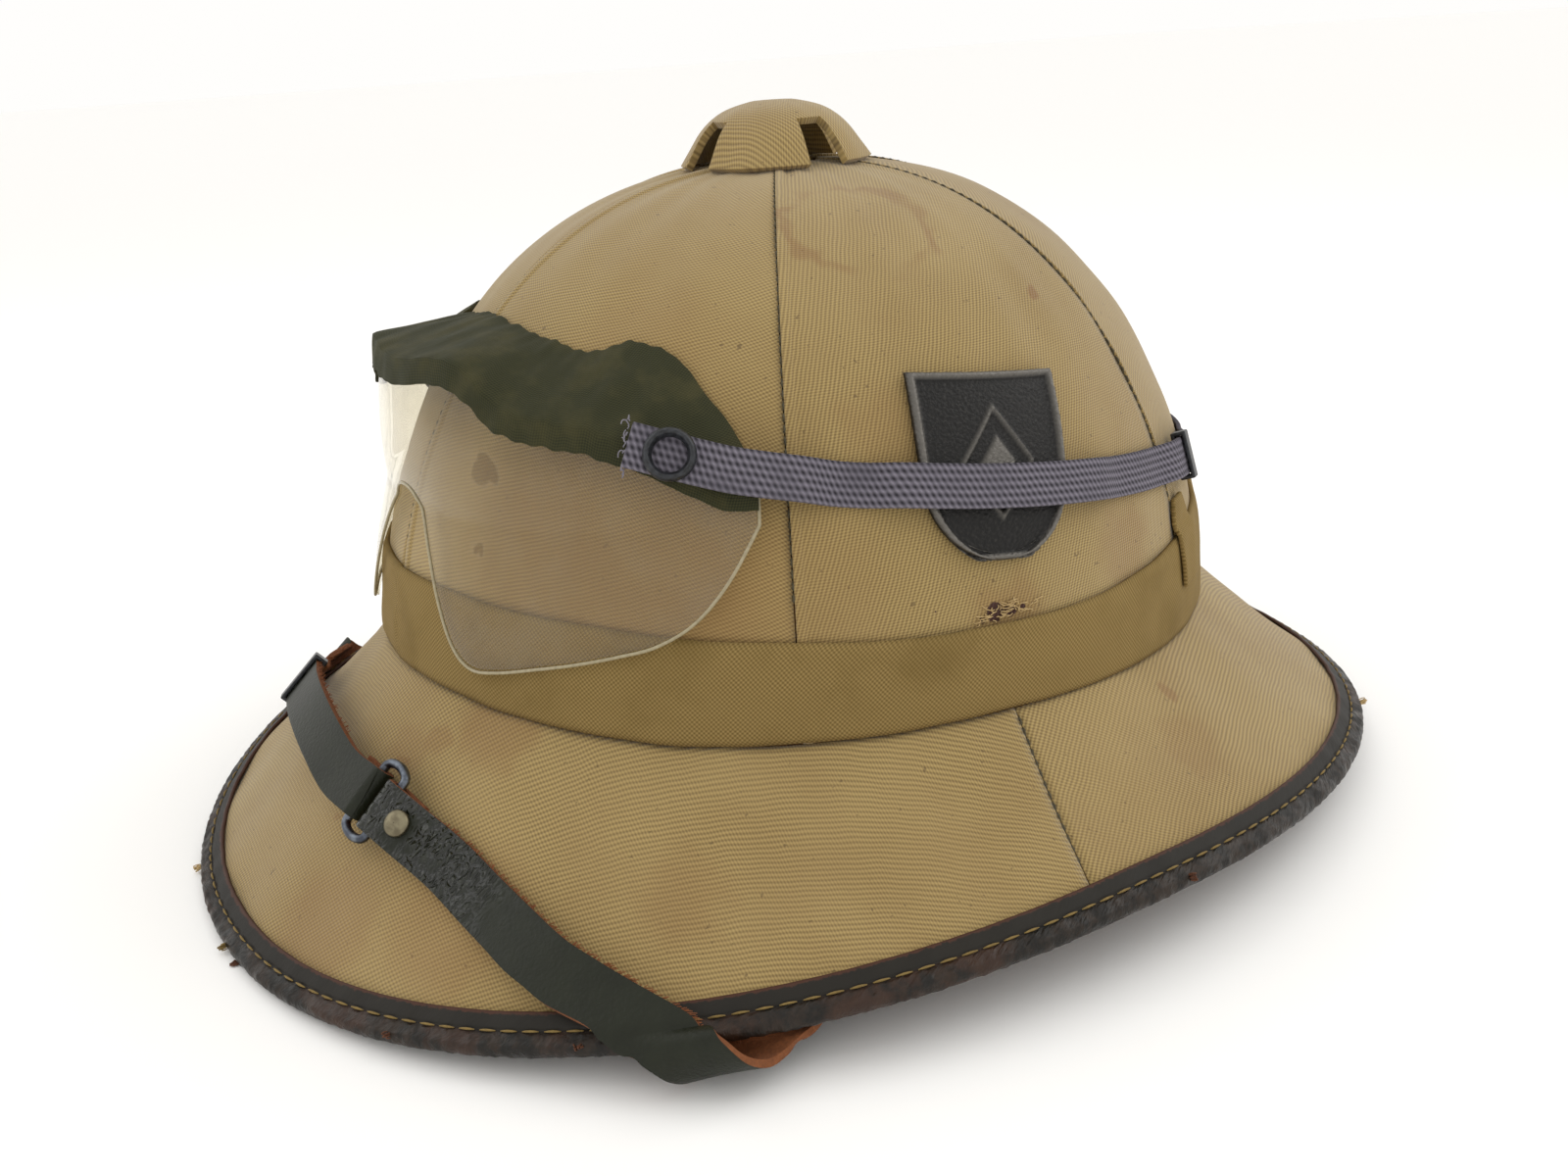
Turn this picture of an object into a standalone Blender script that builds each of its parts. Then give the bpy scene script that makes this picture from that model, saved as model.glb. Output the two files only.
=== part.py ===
"""A cork sun helmet with a canvas cover, sand goggles round its crown and its chin strap over the brim.

Metres, +Z up. The helmet stands on the front and the rear of its rim, with the floor at Z = 0.
The front faces -Y and the wearer's left is +X. Angles round the helmet are in degrees, from the
front (0) over the wearer's left (90) to the rear (180).
"""
import math

import bmesh
import bpy
import numpy as np
from mathutils import Matrix, Vector

# Clearance between pieces that touch on the real helmet
GAP = 0.0003

# Crown: the outer face of its canvas
CROWN_HALF_WIDTH = 0.1063
CROWN_HALF_LENGTH = 0.1175
CROWN_BASE = 0.0486
CROWN_RISE = 0.1160
CROWN_SETBACK = 0.0043
CROWN_PLAN_POWER = 1.91
CROWN_SIDE_POWER = 1.81
CROWN_TOP_POWER = 2.52

# Joint between crown and brim: how far it dips and rises round the crown
JOINT_PITCH = 0.0045
JOINT_SADDLE = 0.0014
JOINT_WAVE = 0.0016

# Brim and its rolled rim
RIM_HALF_WIDTH = 0.1460
RIM_HALF_LENGTH = 0.1694
RIM_PLAN_POWER = 2.08
RIM_SIDE_RISE = 0.0157
RIM_RISE_POWER = 1.57
RIM_REST_SHARE = 0.985
BRIM_SAG = 0.0014

# Walls
CANVAS = 0.0009
CORK = 0.0032
LEATHER_BINDING = 0.0013
SEAM_GAP = 0.0003
AIR_HOLE_RADIUS = 0.0120
GORES = 6
BRIM_SEAM_ANGLE = 85.0

# Leather binding
FLANGE_ABOVE = 0.0110
FLANGE_BELOW = 0.0080
FOOT_HALF_ANGLE = 15.0

# Puggaree band
BAND_WALL = 0.0012
BAND_HEIGHT = 0.0247
BAND_SADDLE = 0.0042
BAND_PITCH = 0.0020
TUCK_ANGLE = 122.0
TUCK_WIDTH = 0.0140
TUCK_ABOVE = 0.0090
TUCK_BELOW = 0.0130
TUCK_SHARES = (1.0, 0.9, 0.55)

# Tear in the canvas, just above the band on the wearer's left
TEAR_ANGLE = 85.0
TEAR_ABOVE_BAND = 0.0028
TEAR_WIDTH = 0.0110
TEAR_HEIGHT = 0.0050
TEAR_SHARES = (1.0, 0.72, 0.95, 0.80, 1.05, 0.85, 0.70, 1.0, 0.78)

# Air cap
CAP_RADIUS = 0.0248
CAP_RISE = 0.0149
CAP_WALL = 0.0020
CAP_OPENING = 26.0
CAP_TURN = 2.0
CAP_FLAP_STEPS = 5
CAP_FOOT_LIFT = 0.55
CAP_PROFILE = (
    # share of the radius, share of the rise
    (0.24, 0.980),
    (0.48, 0.875),
    (0.65, 0.720),
    (0.79, 0.505),
    (0.91, 0.225),
    (1.00, 0.000),
)
CAP_CLOSED_ROWS = 2

# Badge
BADGE_ANGLE = 86.5
BADGE_HEIGHT_ABOVE_BASE = 0.0535
BADGE_WIDTH = 0.0350
BADGE_LENGTH = 0.0415
BADGE_TILT = 8.5
BADGE_WALL = 0.0016
BADGE_BORDER = 0.0008
BADGE_OUTLINE = (
    # share of the length from tip to top, share of the half width
    (0.00, 0.10),
    (0.05, 0.42),
    (0.13, 0.66),
    (0.25, 0.86),
    (0.40, 0.96),
    (0.60, 0.99),
    (0.80, 1.00),
    (0.95, 1.00),
    (1.00, 1.00),
)
BADGE_COLUMNS = (-1.0, -0.84, -0.76, -0.38, 0.0, 0.38, 0.76, 0.84, 1.0)
BADGE_FIELD_ROWS = (2, 7)
BADGE_FIELD = 0.8

# Goggles
GOGGLE_ANGLE = 2.0
LENS_WALL = 0.0012
LENS_CLEARANCE = 0.0005
LENS_BEND_HEIGHT = 0.0465
LENS_STAND_OFF = 0.0110
LENS_STAND_OFF_RISE = 0.0210
LENS_TUCK = 0.0040
LENS_SPREAD = 1.5
GOGGLE_HALF_SPAN = 54.5
GOGGLE_HEIGHT = 0.0870
GOGGLE_LIFT = 0.0135
LENS_ROWS = 5
LENS_BELOW_FOLD = 0.0014
BROW_WALL = 0.0010
BROW_CLEARANCE = 0.0008
BROW_LEAN = 0.45
BROW_FOLD_SHARE = 0.6
GOGGLE_EDGES = (
    # share of the half span, then shares of the goggles' height: lens low, brow low, brow high
    (0.00, 0.420, 0.625, 0.845),
    (0.05, 0.408, 0.627, 0.844),
    (0.10, 0.360, 0.631, 0.841),
    (0.15, 0.270, 0.636, 0.837),
    (0.20, 0.165, 0.638, 0.831),
    (0.26, 0.055, 0.637, 0.822),
    (0.32, 0.012, 0.612, 0.816),
    (0.40, 0.020, 0.572, 0.803),
    (0.50, 0.045, 0.557, 0.788),
    (0.60, 0.070, 0.545, 0.808),
    (0.70, 0.098, 0.527, 0.801),
    (0.78, 0.125, 0.500, 0.773),
    (0.86, 0.180, 0.463, 0.705),
    (0.93, 0.270, 0.434, 0.630),
    (1.00, 0.400, 0.430, 0.530),
)
GOGGLE_COLUMNS = {"lens low": 1, "brow low": 2, "brow high": 3}
SNAP_ANGLE = 46.7
SNAP_RADIUS = 0.0057
SNAP_THICKNESS = 0.0020
SNAP_GAP = 0.0006

# Elastic webbing of the goggles
WEB_WIDTH = 0.0098
WEB_WALL = 0.0012
WEB_TAIL_ANGLE = 41.5
WEB_MEAN_HEIGHT = 0.0478
WEB_PITCH = 0.0168
WEB_END_RISE = 0.0052
WEB_END_SPREAD = 8.0
WEB_LIE = 0.0005
WEB_SLOPE = 0.0009
WEB_FLAT = 4.0
WEB_REACH = 12.0
WEB_STEP = 4.0
WEB_PROBES = 5
SLIDE_CLEARANCE = 0.0016
SLIDE_ANGLE = 127.0
SLIDE_LENGTH = 0.0040
SLIDE_WALL = 0.0010

# Chin strap
STRAP_WIDTH = 0.0125
STRAP_WALL = 0.0016
STRAP_LIE = 0.0016
STRAP_LOOSE = 0.0030
STRAP_TAIL = 0.0150
RING_ANGLE = 14.5
RING_SHARE = 0.405
RING_WIRE_RADIUS = 0.0011
RING_SPACING = 0.0088
RING_EASE = 0.0010
RIVET_RADIUS = 0.0031
RIVET_HEAD = 0.0008
RIVET_SETBACK = 0.0070
BUCKLE_ANGLE = -19.0
BUCKLE_LENGTH = 0.0110
BUCKLE_WALL = 0.0010
BUCKLE_CLEARANCE = 0.0005
ANCHOR_RADIUS = 0.0040
ANCHOR_HEAD = 0.0012
ANCHOR_GAP = 0.0005
STRAP_CROSSING = 38.0
STRAP_LEFT_TOP = (
    # angle, share of the brim from joint to rim, height of the strap's inner face over the canvas,
    # and how far its cross lines have turned from square to level with the rim
    (20.5, 0.445, 0.0036, 0.0),
    (26.5, 0.500, 0.0008, 0.0),
    (32.1, 0.582, 0.0006, 0.0),
    (36.5, 0.660, 0.0020, 0.1),
    (40.0, 0.735, 0.0032, 0.4),
    (43.0, 0.795, 0.0036, 0.6),
    (46.0, 0.860, 0.0036, 0.8),
    (50.3, 0.955, 0.0035, 1.0),
)
STRAP_RIGHT_TOP = (
    # the same, from the ring over the front to the wearer's right
    (7.5, 0.385, 0.0058, 0.0),
    (1.0, 0.350, 0.0066, 0.0),
    (-6.0, 0.335, 0.0072, 0.0),
    (-13.0, 0.345, 0.0076, 0.0),
    (-19.0, 0.370, 0.0074, 0.0),
    (-25.0, 0.440, 0.0058, 0.0),
    (-31.0, 0.545, 0.0034, 0.0),
    (-36.5, 0.660, 0.0026, 0.1),
    (-40.0, 0.735, 0.0032, 0.4),
    (-43.0, 0.795, 0.0036, 0.6),
    (-46.0, 0.860, 0.0036, 0.8),
    (-50.3, 0.955, 0.0035, 1.0),
)
STRAP_TURN_START = 51.5
STRAP_TURN_END = 59.5
STRAP_TURN_STEPS = 6
STRAP_BELOW = (
    # angle, share of the brim, depth of the strap's inner face under the cork, turn of its cross lines
    (61.5, 0.900, 0.0034, 0.8),
    (64.0, 0.800, 0.0032, 0.5),
    (67.5, 0.660, 0.0022, 0.2),
    (71.5, 0.500, 0.0013, 0.0),
    (76.0, 0.330, 0.0013, 0.0),
    (79.5, 0.240, 0.0013, 0.0),
    (81.5, 0.180, 0.0013, 0.0),
)

COLUMNS = 48
CROWN_ROWS = 9
BRIM_ROWS = 4
DISC_SIDES = 16
DISC_TAPER = 0.9
SMOOTH_LIMIT = 40.0
BEND_STEPS = 7
NEARLY_ZERO = 1e-6
FLAT_LIMIT = 0.1
SIDE = {"left": 1.0, "right": -1.0}

CORE = CANVAS + GAP + CORK
ROLL_RADIUS = CORE / 2 + GAP + LEATHER_BINDING
BAND_OUTSIDE = GAP + BAND_WALL
BADGE_OUTSIDE = GAP + BADGE_WALL + BADGE_BORDER
DOWN = np.array((0.0, 0.0, -1.0))
UP = -DOWN


def clear_scene():
    for thing in list(bpy.data.objects):
        bpy.data.objects.remove(thing, do_unlink=True)


def make_collection(name):
    collection = bpy.data.collections.new(name)
    bpy.context.scene.collection.children.link(collection)
    return collection


def make_material(name, colour, roughness, metallic=0.0, alpha=1.0):
    material = bpy.data.materials.new(name)
    material.use_nodes = True
    shader = material.node_tree.nodes["Principled BSDF"]
    shader.inputs["Base Color"].default_value = (*colour, 1.0)
    shader.inputs["Roughness"].default_value = roughness
    shader.inputs["Metallic"].default_value = metallic
    shader.inputs["Alpha"].default_value = alpha
    return material


def unit(vectors):
    return vectors / np.linalg.norm(vectors, axis=-1, keepdims=True)


def table_value(table, share, column):
    """Reads one column of a table of shares between its rows."""
    return np.interp(share, [row[0] for row in table], [row[column] for row in table])


# Surfaces of the helmet

def plan_point(angle, half_width, half_length, power):
    """A point of the helmet's rounded outline, at an angle from the front."""
    sine = np.sin(np.radians(angle))
    cosine = np.cos(np.radians(angle))
    reach = (np.abs(sine) ** power + np.abs(cosine) ** power) ** (-1 / power)
    return half_width * reach * sine, -half_length * reach * cosine


def crown_point(angle, height, offset=0.0):
    """A point at a distance outside the canvas of the crown, and the direction out of it there."""
    angle, height = np.broadcast_arrays(np.asarray(angle, float), np.asarray(height, float))
    climb = np.clip((height - CROWN_BASE) / CROWN_RISE, 0.0, 1.0)
    narrow = (1 - climb ** CROWN_SIDE_POWER) ** (1 / CROWN_TOP_POWER)
    x, y = plan_point(angle, CROWN_HALF_WIDTH * narrow, CROWN_HALF_LENGTH * narrow, CROWN_PLAN_POWER)
    side = np.abs(x / CROWN_HALF_WIDTH)
    front = np.abs(y / CROWN_HALF_LENGTH)
    steep = CROWN_TOP_POWER * np.maximum(narrow, NEARLY_ZERO) ** (CROWN_TOP_POWER - CROWN_PLAN_POWER)
    out_x = steep * side ** (CROWN_PLAN_POWER - 1) * np.sign(x) / CROWN_HALF_WIDTH
    out_y = steep * front ** (CROWN_PLAN_POWER - 1) * np.sign(y) / CROWN_HALF_LENGTH
    out_z = CROWN_SIDE_POWER * climb ** (CROWN_SIDE_POWER - 1) / CROWN_RISE
    normal = unit(np.stack([out_x, out_y, out_z], axis=-1))
    point = np.stack([x, y + CROWN_SETBACK, height], axis=-1)
    return point + normal * np.asarray(offset)[..., None], normal


def joint_height(angle):
    """Height of the line where the brim leaves the crown."""
    turn = np.radians(angle)
    wave = JOINT_PITCH * np.cos(turn) + JOINT_SADDLE * np.cos(2 * turn) + JOINT_WAVE * np.cos(4 * turn)
    return CROWN_BASE + wave


def band_top(angle):
    """Height of the upper edge of the puggaree band."""
    turn = np.radians(angle)
    return CROWN_BASE + BAND_HEIGHT + BAND_SADDLE * np.cos(2 * turn) + BAND_PITCH * np.cos(turn)


def roll_centre(angle):
    """The centre line of the rolled rim. Its front and rear ends are level, to stand on."""
    x, y = plan_point(angle, RIM_HALF_WIDTH - ROLL_RADIUS, RIM_HALF_LENGTH - ROLL_RADIUS, RIM_PLAN_POWER)
    reach = np.minimum(np.abs(y) / (RIM_HALF_LENGTH - ROLL_RADIUS) / RIM_REST_SHARE, 1.0)
    foot = ROLL_RADIUS * math.cos(math.radians(FOOT_HALF_ANGLE))
    return np.stack([x, y, foot + RIM_SIDE_RISE * (1 - reach ** RIM_RISE_POWER)], axis=-1)


def brim_ends(angle):
    """The ends of the brim's upper canvas face, at the crown and at the rim."""
    inner = crown_point(angle, joint_height(angle))[0]
    run = roll_centre(angle) - inner
    level = np.linalg.norm(run[..., :2], axis=-1, keepdims=True)
    outward = np.concatenate([run[..., :2] / level, np.zeros_like(level)], axis=-1)
    rise = unit(-run[..., 2:] * outward + level * UP)
    return inner, roll_centre(angle) + rise * CORE / 2


def brim_flat(angle, share):
    inner, outer = brim_ends(angle)
    return inner + (outer - inner) * np.asarray(share, float)[..., None]


def brim_point(angle, share, offset=0.0):
    """A point at a distance above the brim's canvas, and the direction out of it there."""
    angle, share = np.broadcast_arrays(np.asarray(angle, float), np.asarray(share, float))
    step = 0.5
    along = brim_flat(angle + step, share) - brim_flat(angle - step, share)
    inner, outer = brim_ends(angle)
    normal = unit(np.cross(along, inner - outer))
    sag = BRIM_SAG * 4 * share * (1 - share)
    point = brim_flat(angle, share)
    return point + normal * (np.asarray(offset) - sag)[..., None], normal


def brim_length(angle):
    inner, outer = brim_ends(angle)
    return np.linalg.norm(outer - inner, axis=-1)


def rim_frame(angle):
    """The roll's centre, the direction outward along the brim and the direction out of its face."""
    step = 0.5
    along = roll_centre(angle + step) - roll_centre(angle - step)
    normal = brim_point(angle, 1.0)[1]
    outward = unit(np.cross(along, normal))
    return roll_centre(angle), outward, unit(np.cross(outward, along))


def rim_point(angle, turn, radius):
    """A point round the roll: turn is 90 degrees on top, 0 outward and -90 below."""
    centre, outward, normal = rim_frame(angle)
    turn = np.radians(turn)[..., None]
    direction = np.cos(turn) * outward + np.sin(turn) * normal
    return centre + direction * radius, direction


# Making objects

def grid_mesh(name, rows, closed=False, keep=None):
    """A mesh of four-sided faces through rows of points. keep says which faces stay."""
    row_count, column_count = rows.shape[:2]
    mesh_data = bmesh.new()
    points = [[mesh_data.verts.new(point) for point in row] for row in rows]
    for i in range(row_count - 1):
        for j in range(column_count if closed else column_count - 1):
            if keep and not keep(i, j):
                continue
            after = (j + 1) % column_count
            mesh_data.faces.new((points[i][j], points[i][after], points[i + 1][after], points[i + 1][j]))
    loose = [vertex for vertex in mesh_data.verts if not vertex.link_faces]
    bmesh.ops.delete(mesh_data, geom=loose, context="VERTS")
    mesh = bpy.data.meshes.new(name)
    mesh_data.to_mesh(mesh)
    mesh_data.free()
    return mesh


def add_object(name, data, collection, material):
    thing = bpy.data.objects.new(name, data)
    thing.data.materials.append(material)
    collection.objects.link(thing)
    return thing


def thicken(thing, wall, side=-1.0):
    """Gives an open surface its wall: inward with side -1, outward with side 1."""
    solidify = thing.modifiers.new("wall", "SOLIDIFY")
    solidify.thickness = wall
    solidify.offset = side
    solidify.use_even_offset = True
    solidify.use_quality_normals = True
    return solidify


def shade(thing):
    thing.data.shade_smooth()
    thing.data.set_sharp_from_angle(angle=math.radians(SMOOTH_LIMIT))


def add_sheet(name, rows, wall, collection, material, closed=False, keep=None, side=-1.0):
    thing = add_object(name, grid_mesh(name, rows, closed, keep), collection, material)
    thicken(thing, wall, side)
    shade(thing)
    return thing


def offset_rows(rows, distance):
    """Moves a closed grid by one distance from every face that meets at each of its points."""
    across = np.roll(rows, -1, axis=1) - rows
    along = rows[1:] - rows[:-1]
    normals = unit(np.cross(across[:-1] + across[1:], along + np.roll(along, -1, axis=1)))
    moved = rows.copy()
    for i in range(rows.shape[0]):
        for j in range(rows.shape[1]):
            near = [normals[row, column]
                    for row in (i - 1, i) if 0 <= row < rows.shape[0] - 1
                    for column in (j - 1, j)]
            solved = np.linalg.pinv(np.array(near), rcond=FLAT_LIMIT) @ np.full(len(near), distance)
            moved[i, j] += solved
    return moved


def add_ribbon(name, points, normals, width, wall, collection, material, skew=0.0):
    """A strap: points run along its inner face, and normals point out of its outer face.

    skew slides its two edges along the strap, so that its cross lines may follow an edge it turns over.
    """
    along = unit(np.gradient(points, axis=0))
    across = unit(np.cross(normals, along)) + along * np.asarray(skew)[..., None]
    rows = np.stack([points - across * width / 2, points + across * width / 2])
    return add_sheet(name, rows, wall, collection, material, side=1.0)


def add_disc(name, centre, normal, radius, thickness, collection, material):
    """A round head whose inner face lies at centre."""
    disc = bmesh.new()
    bmesh.ops.create_cone(disc, cap_ends=True, segments=DISC_SIDES, radius1=radius,
                          radius2=radius * DISC_TAPER, depth=thickness)
    mesh = bpy.data.meshes.new(name)
    disc.to_mesh(mesh)
    disc.free()
    thing = add_object(name, mesh, collection, material)
    turn = Vector(normal).to_track_quat("Z", "Y").to_matrix().to_4x4()
    thing.matrix_world = Matrix.Translation(Vector(centre + normal * thickness / 2)) @ turn
    shade(thing)
    return thing


def add_collar(name, centre, normal, along, inside, length, wall, collection, material):
    """A flat loop that a strap runs through. inside is its clear width and height."""
    across = unit(np.cross(normal, along))
    half_width = inside[0] / 2 + wall
    half_height = inside[1] / 2 + wall
    corners = ((-1, -1), (1, -1), (1, 1), (-1, 1))
    loop = [centre + across * half_width * x + normal * half_height * z for x, z in corners]
    rows = np.array([[point + along * length * share for point in loop] for share in (0.5, -0.5)])
    return add_sheet(name, rows, wall, collection, material, closed=True)


# Pieces

def ring_angles():
    return np.arange(COLUMNS) * 360.0 / COLUMNS


def crown_heights(angles):
    """Heights of the crown's rows, from the joint to the air hole."""
    smallest = AIR_HOLE_RADIUS / (CROWN_HALF_WIDTH + CROWN_HALF_LENGTH) * 2
    last = math.acos(smallest ** (CROWN_TOP_POWER / 2))
    turns = np.linspace(0.0, last, CROWN_ROWS + 1)
    climbs = np.sin(turns) ** (2 / CROWN_SIDE_POWER)
    joint = (joint_height(angles) - CROWN_BASE) / CROWN_RISE
    return [CROWN_BASE + CROWN_RISE * (climb + joint * (1 - climb)) for climb in climbs]


def make_cork_shell(collection, material):
    """Crown and brim are one pressed cork shell, open below, with an air hole on top."""
    angles = ring_angles()
    brim = [brim_point(angles, share)[0] for share in np.linspace(1.0, 0.0, BRIM_ROWS + 1)[:-1]]
    crown = [crown_point(angles, height)[0] for height in crown_heights(angles)]
    rows = offset_rows(np.array(brim + crown), -(CANVAS + GAP))
    add_sheet("cork_shell", rows, CORK, collection, material, closed=True)


def gore_rows(start, end):
    """Rows of one canvas gore, whose edges stop half a seam gap short of the seams."""
    step = 360.0 / COLUMNS
    angles = np.arange(start, end + step / 2, step)
    rows = []
    for height in crown_heights(angles):
        points = crown_point(angles, height)[0]
        reach = np.linalg.norm(points[:, :2] - (0.0, CROWN_SETBACK), axis=1)
        shift = np.degrees(SEAM_GAP / 2 / reach)
        eased = angles.copy()
        eased[0] += shift[0]
        eased[-1] -= shift[-1]
        rows.append(crown_point(eased, height)[0])
    return np.array(rows)


def make_tear_cutter(collection, material):
    height = band_top(TEAR_ANGLE) + TEAR_ABOVE_BAND
    centre, normal = crown_point(TEAR_ANGLE, height)
    disc = bmesh.new()
    bmesh.ops.create_cone(disc, cap_ends=True, segments=len(TEAR_SHARES), radius1=1.0, radius2=1.0,
                          depth=CANVAS * 6)
    for vertex in disc.verts:
        turn = math.atan2(vertex.co.y, vertex.co.x) % math.tau
        share = TEAR_SHARES[round(turn / math.tau * len(TEAR_SHARES)) % len(TEAR_SHARES)]
        vertex.co.x *= share * TEAR_WIDTH / 2
        vertex.co.y *= share * TEAR_HEIGHT / 2
    mesh = bpy.data.meshes.new("tear_cutter")
    disc.to_mesh(mesh)
    disc.free()
    cutter = add_object("tear_cutter", mesh, collection, material)
    across = unit(np.cross(UP, normal))
    rise = np.cross(normal, across)
    turn = Matrix((across, rise, normal)).transposed().to_4x4()
    cutter.matrix_world = Matrix.Translation(Vector(centre)) @ turn
    cutter.hide_render = True
    cutter.display_type = "WIRE"
    return cutter


def make_crown_panels(collection, cutters, material):
    """Six canvas gores, the third of which has a tear above the band."""
    width = 360.0 / GORES
    for number in range(GORES):
        start = number * width
        name = f"crown_panel_{number + 1}"
        panel = add_sheet(name, gore_rows(start, start + width), CANVAS, collection, material)
        if start < TEAR_ANGLE < start + width:
            cut = panel.modifiers.new("tear", "BOOLEAN")
            cut.operation = "DIFFERENCE"
            cut.object = make_tear_cutter(cutters, material)


def brim_facet_point(angle, share):
    """A point of the brim's flat facets, whose corners lie on the shared columns."""
    step = 360.0 / COLUMNS
    before = np.floor(angle / step) * step
    mix = ((angle - before) / step)[:, None]
    return brim_point(before, share)[0] * (1 - mix) + brim_point(before + step, share)[0] * mix


def brim_cover_rows(start, end):
    step = 360.0 / COLUMNS
    inside = np.arange(math.ceil(start / step) * step, end, step)
    angles = np.concatenate([[start], inside[inside > start + step / 4], [end]])
    inner_share = GAP / brim_length(angles)
    shares = np.linspace(1.0, 0.0, BRIM_ROWS + 1)
    return np.array([brim_facet_point(angles, np.maximum(share, inner_share)) for share in shares])


def make_brim_covers(collection, material):
    """Two canvas covers meet in a seam ahead of each ear."""
    ease = math.degrees(SEAM_GAP / 2 / CROWN_HALF_WIDTH)
    front = brim_cover_rows(-BRIM_SEAM_ANGLE + ease, BRIM_SEAM_ANGLE - ease)
    rear = brim_cover_rows(BRIM_SEAM_ANGLE + ease, 360.0 - BRIM_SEAM_ANGLE - ease)
    add_sheet("brim_cover_front", front, CANVAS, collection, material)
    add_sheet("brim_cover_rear", rear, CANVAS, collection, material)


def make_binding(collection, material):
    """A leather strip folded round the rim: a flange above, the roll and a flange below."""
    angles = ring_angles()
    share_above = 1 - FLANGE_ABOVE / brim_length(angles)
    share_below = 1 - FLANGE_BELOW / brim_length(angles)
    outside = GAP + LEATHER_BINDING
    outward, normal = rim_frame(angles)[1:]
    foot = np.degrees(np.arctan2(normal @ DOWN, outward @ DOWN))
    first = foot + FOOT_HALF_ANGLE
    turns = [np.full(COLUMNS, -90.0), foot - FOOT_HALF_ANGLE]
    turns += [first + (90.0 - first) * share for share in np.linspace(0.0, 1.0, 4)]
    rows = [brim_point(angles, share_below, -CORE - outside)[0]]
    rows += [rim_point(angles, turn, ROLL_RADIUS)[0] for turn in turns]
    rows.append(brim_point(angles, share_above, outside)[0])
    add_sheet("brim_binding", np.array(rows), LEATHER_BINDING, collection, material, closed=True)


def make_band(collection, material):
    """The puggaree band and, at the rear, the tongue where its end is tucked in."""
    angles = ring_angles()
    low = joint_height(angles) + GAP
    high = band_top(angles)
    rows = [crown_point(angles, low + (high - low) * share, BAND_OUTSIDE)[0] for share in (0.0, 0.5, 1.0)]
    add_sheet("puggaree_band", np.array(rows), BAND_WALL, collection, material, closed=True)
    reach = math.degrees(TUCK_WIDTH / 2 / CROWN_HALF_LENGTH)
    turns = TUCK_ANGLE + np.linspace(-reach, reach, 4)
    offset = BAND_OUTSIDE + 2 * GAP + BAND_WALL
    heights = [band_top(turns) - TUCK_BELOW, band_top(turns), band_top(turns) + TUCK_ABOVE]
    rows = [crown_point(TUCK_ANGLE + (turns - TUCK_ANGLE) * share, height, offset)[0]
            for height, share in zip(heights, TUCK_SHARES)]
    add_sheet("puggaree_tuck", np.array(rows), BAND_WALL, collection, material)


def crown_top_height(radius):
    narrow = radius / (CROWN_HALF_WIDTH + CROWN_HALF_LENGTH) * 2
    return CROWN_BASE + CROWN_RISE * (1 - narrow ** CROWN_TOP_POWER) ** (1 / CROWN_SIDE_POWER)


def make_cap(collection, material):
    """A domed cap on four flaps, with an air opening between each two."""
    half = CAP_OPENING / 2
    flap = np.linspace(half, 90.0 - half, CAP_FLAP_STEPS + 1)
    quarter = np.concatenate([[0.0], flap])
    angles = CAP_TURN + np.concatenate([quarter + 90.0 * turn for turn in range(4)])
    foot = crown_top_height(CAP_RADIUS) + GAP + CAP_WALL * CAP_FOOT_LIFT
    rows = []
    for radius_share, rise_share in reversed(CAP_PROFILE):
        radius = CAP_RADIUS * radius_share
        x = radius * np.sin(np.radians(angles))
        y = CROWN_SETBACK - radius * np.cos(np.radians(angles))
        rows.append(np.stack([x, y, np.full_like(x, foot + CAP_RISE * rise_share)], axis=-1))
    per_quarter = len(quarter)
    open_rows = len(CAP_PROFILE) - 1 - CAP_CLOSED_ROWS

    def keep(i, j):
        in_opening = j % per_quarter in (0, per_quarter - 1)
        return not (i < open_rows and in_opening)

    cap = add_object("vent_cap", grid_mesh("vent_cap", np.array(rows), True, keep), collection, material)
    top = bmesh.new()
    top.from_mesh(cap.data)
    highest = max(vertex.co.z for vertex in top.verts)
    rim = [edge for edge in top.edges if all(vertex.co.z > highest - GAP for vertex in edge.verts)]
    filled = bmesh.ops.contextual_create(top, geom=rim)["faces"]
    poked = bmesh.ops.poke(top, faces=filled)
    for vertex in poked["verts"]:
        vertex.co.z = foot + CAP_RISE
    bmesh.ops.recalc_face_normals(top, faces=top.faces)
    top.to_mesh(cap.data)
    top.free()
    thicken(cap, CAP_WALL)
    shade(cap)


def badge_point(across, along, offset):
    """A point of the badge: across and along are metres on the crown from its middle."""
    tilt = math.radians(BADGE_TILT)
    side = across * math.cos(tilt) + along * math.sin(tilt)
    rise = along * math.cos(tilt) - across * math.sin(tilt)
    middle = CROWN_BASE + BADGE_HEIGHT_ABOVE_BASE
    normal = crown_point(BADGE_ANGLE, middle)[1]
    height = middle + rise * math.hypot(normal[0], normal[1])
    reach = np.linalg.norm(crown_point(BADGE_ANGLE, height)[0][:2] - (0.0, CROWN_SETBACK))
    return crown_point(BADGE_ANGLE + np.degrees(side / reach), height, offset)[0]


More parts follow.
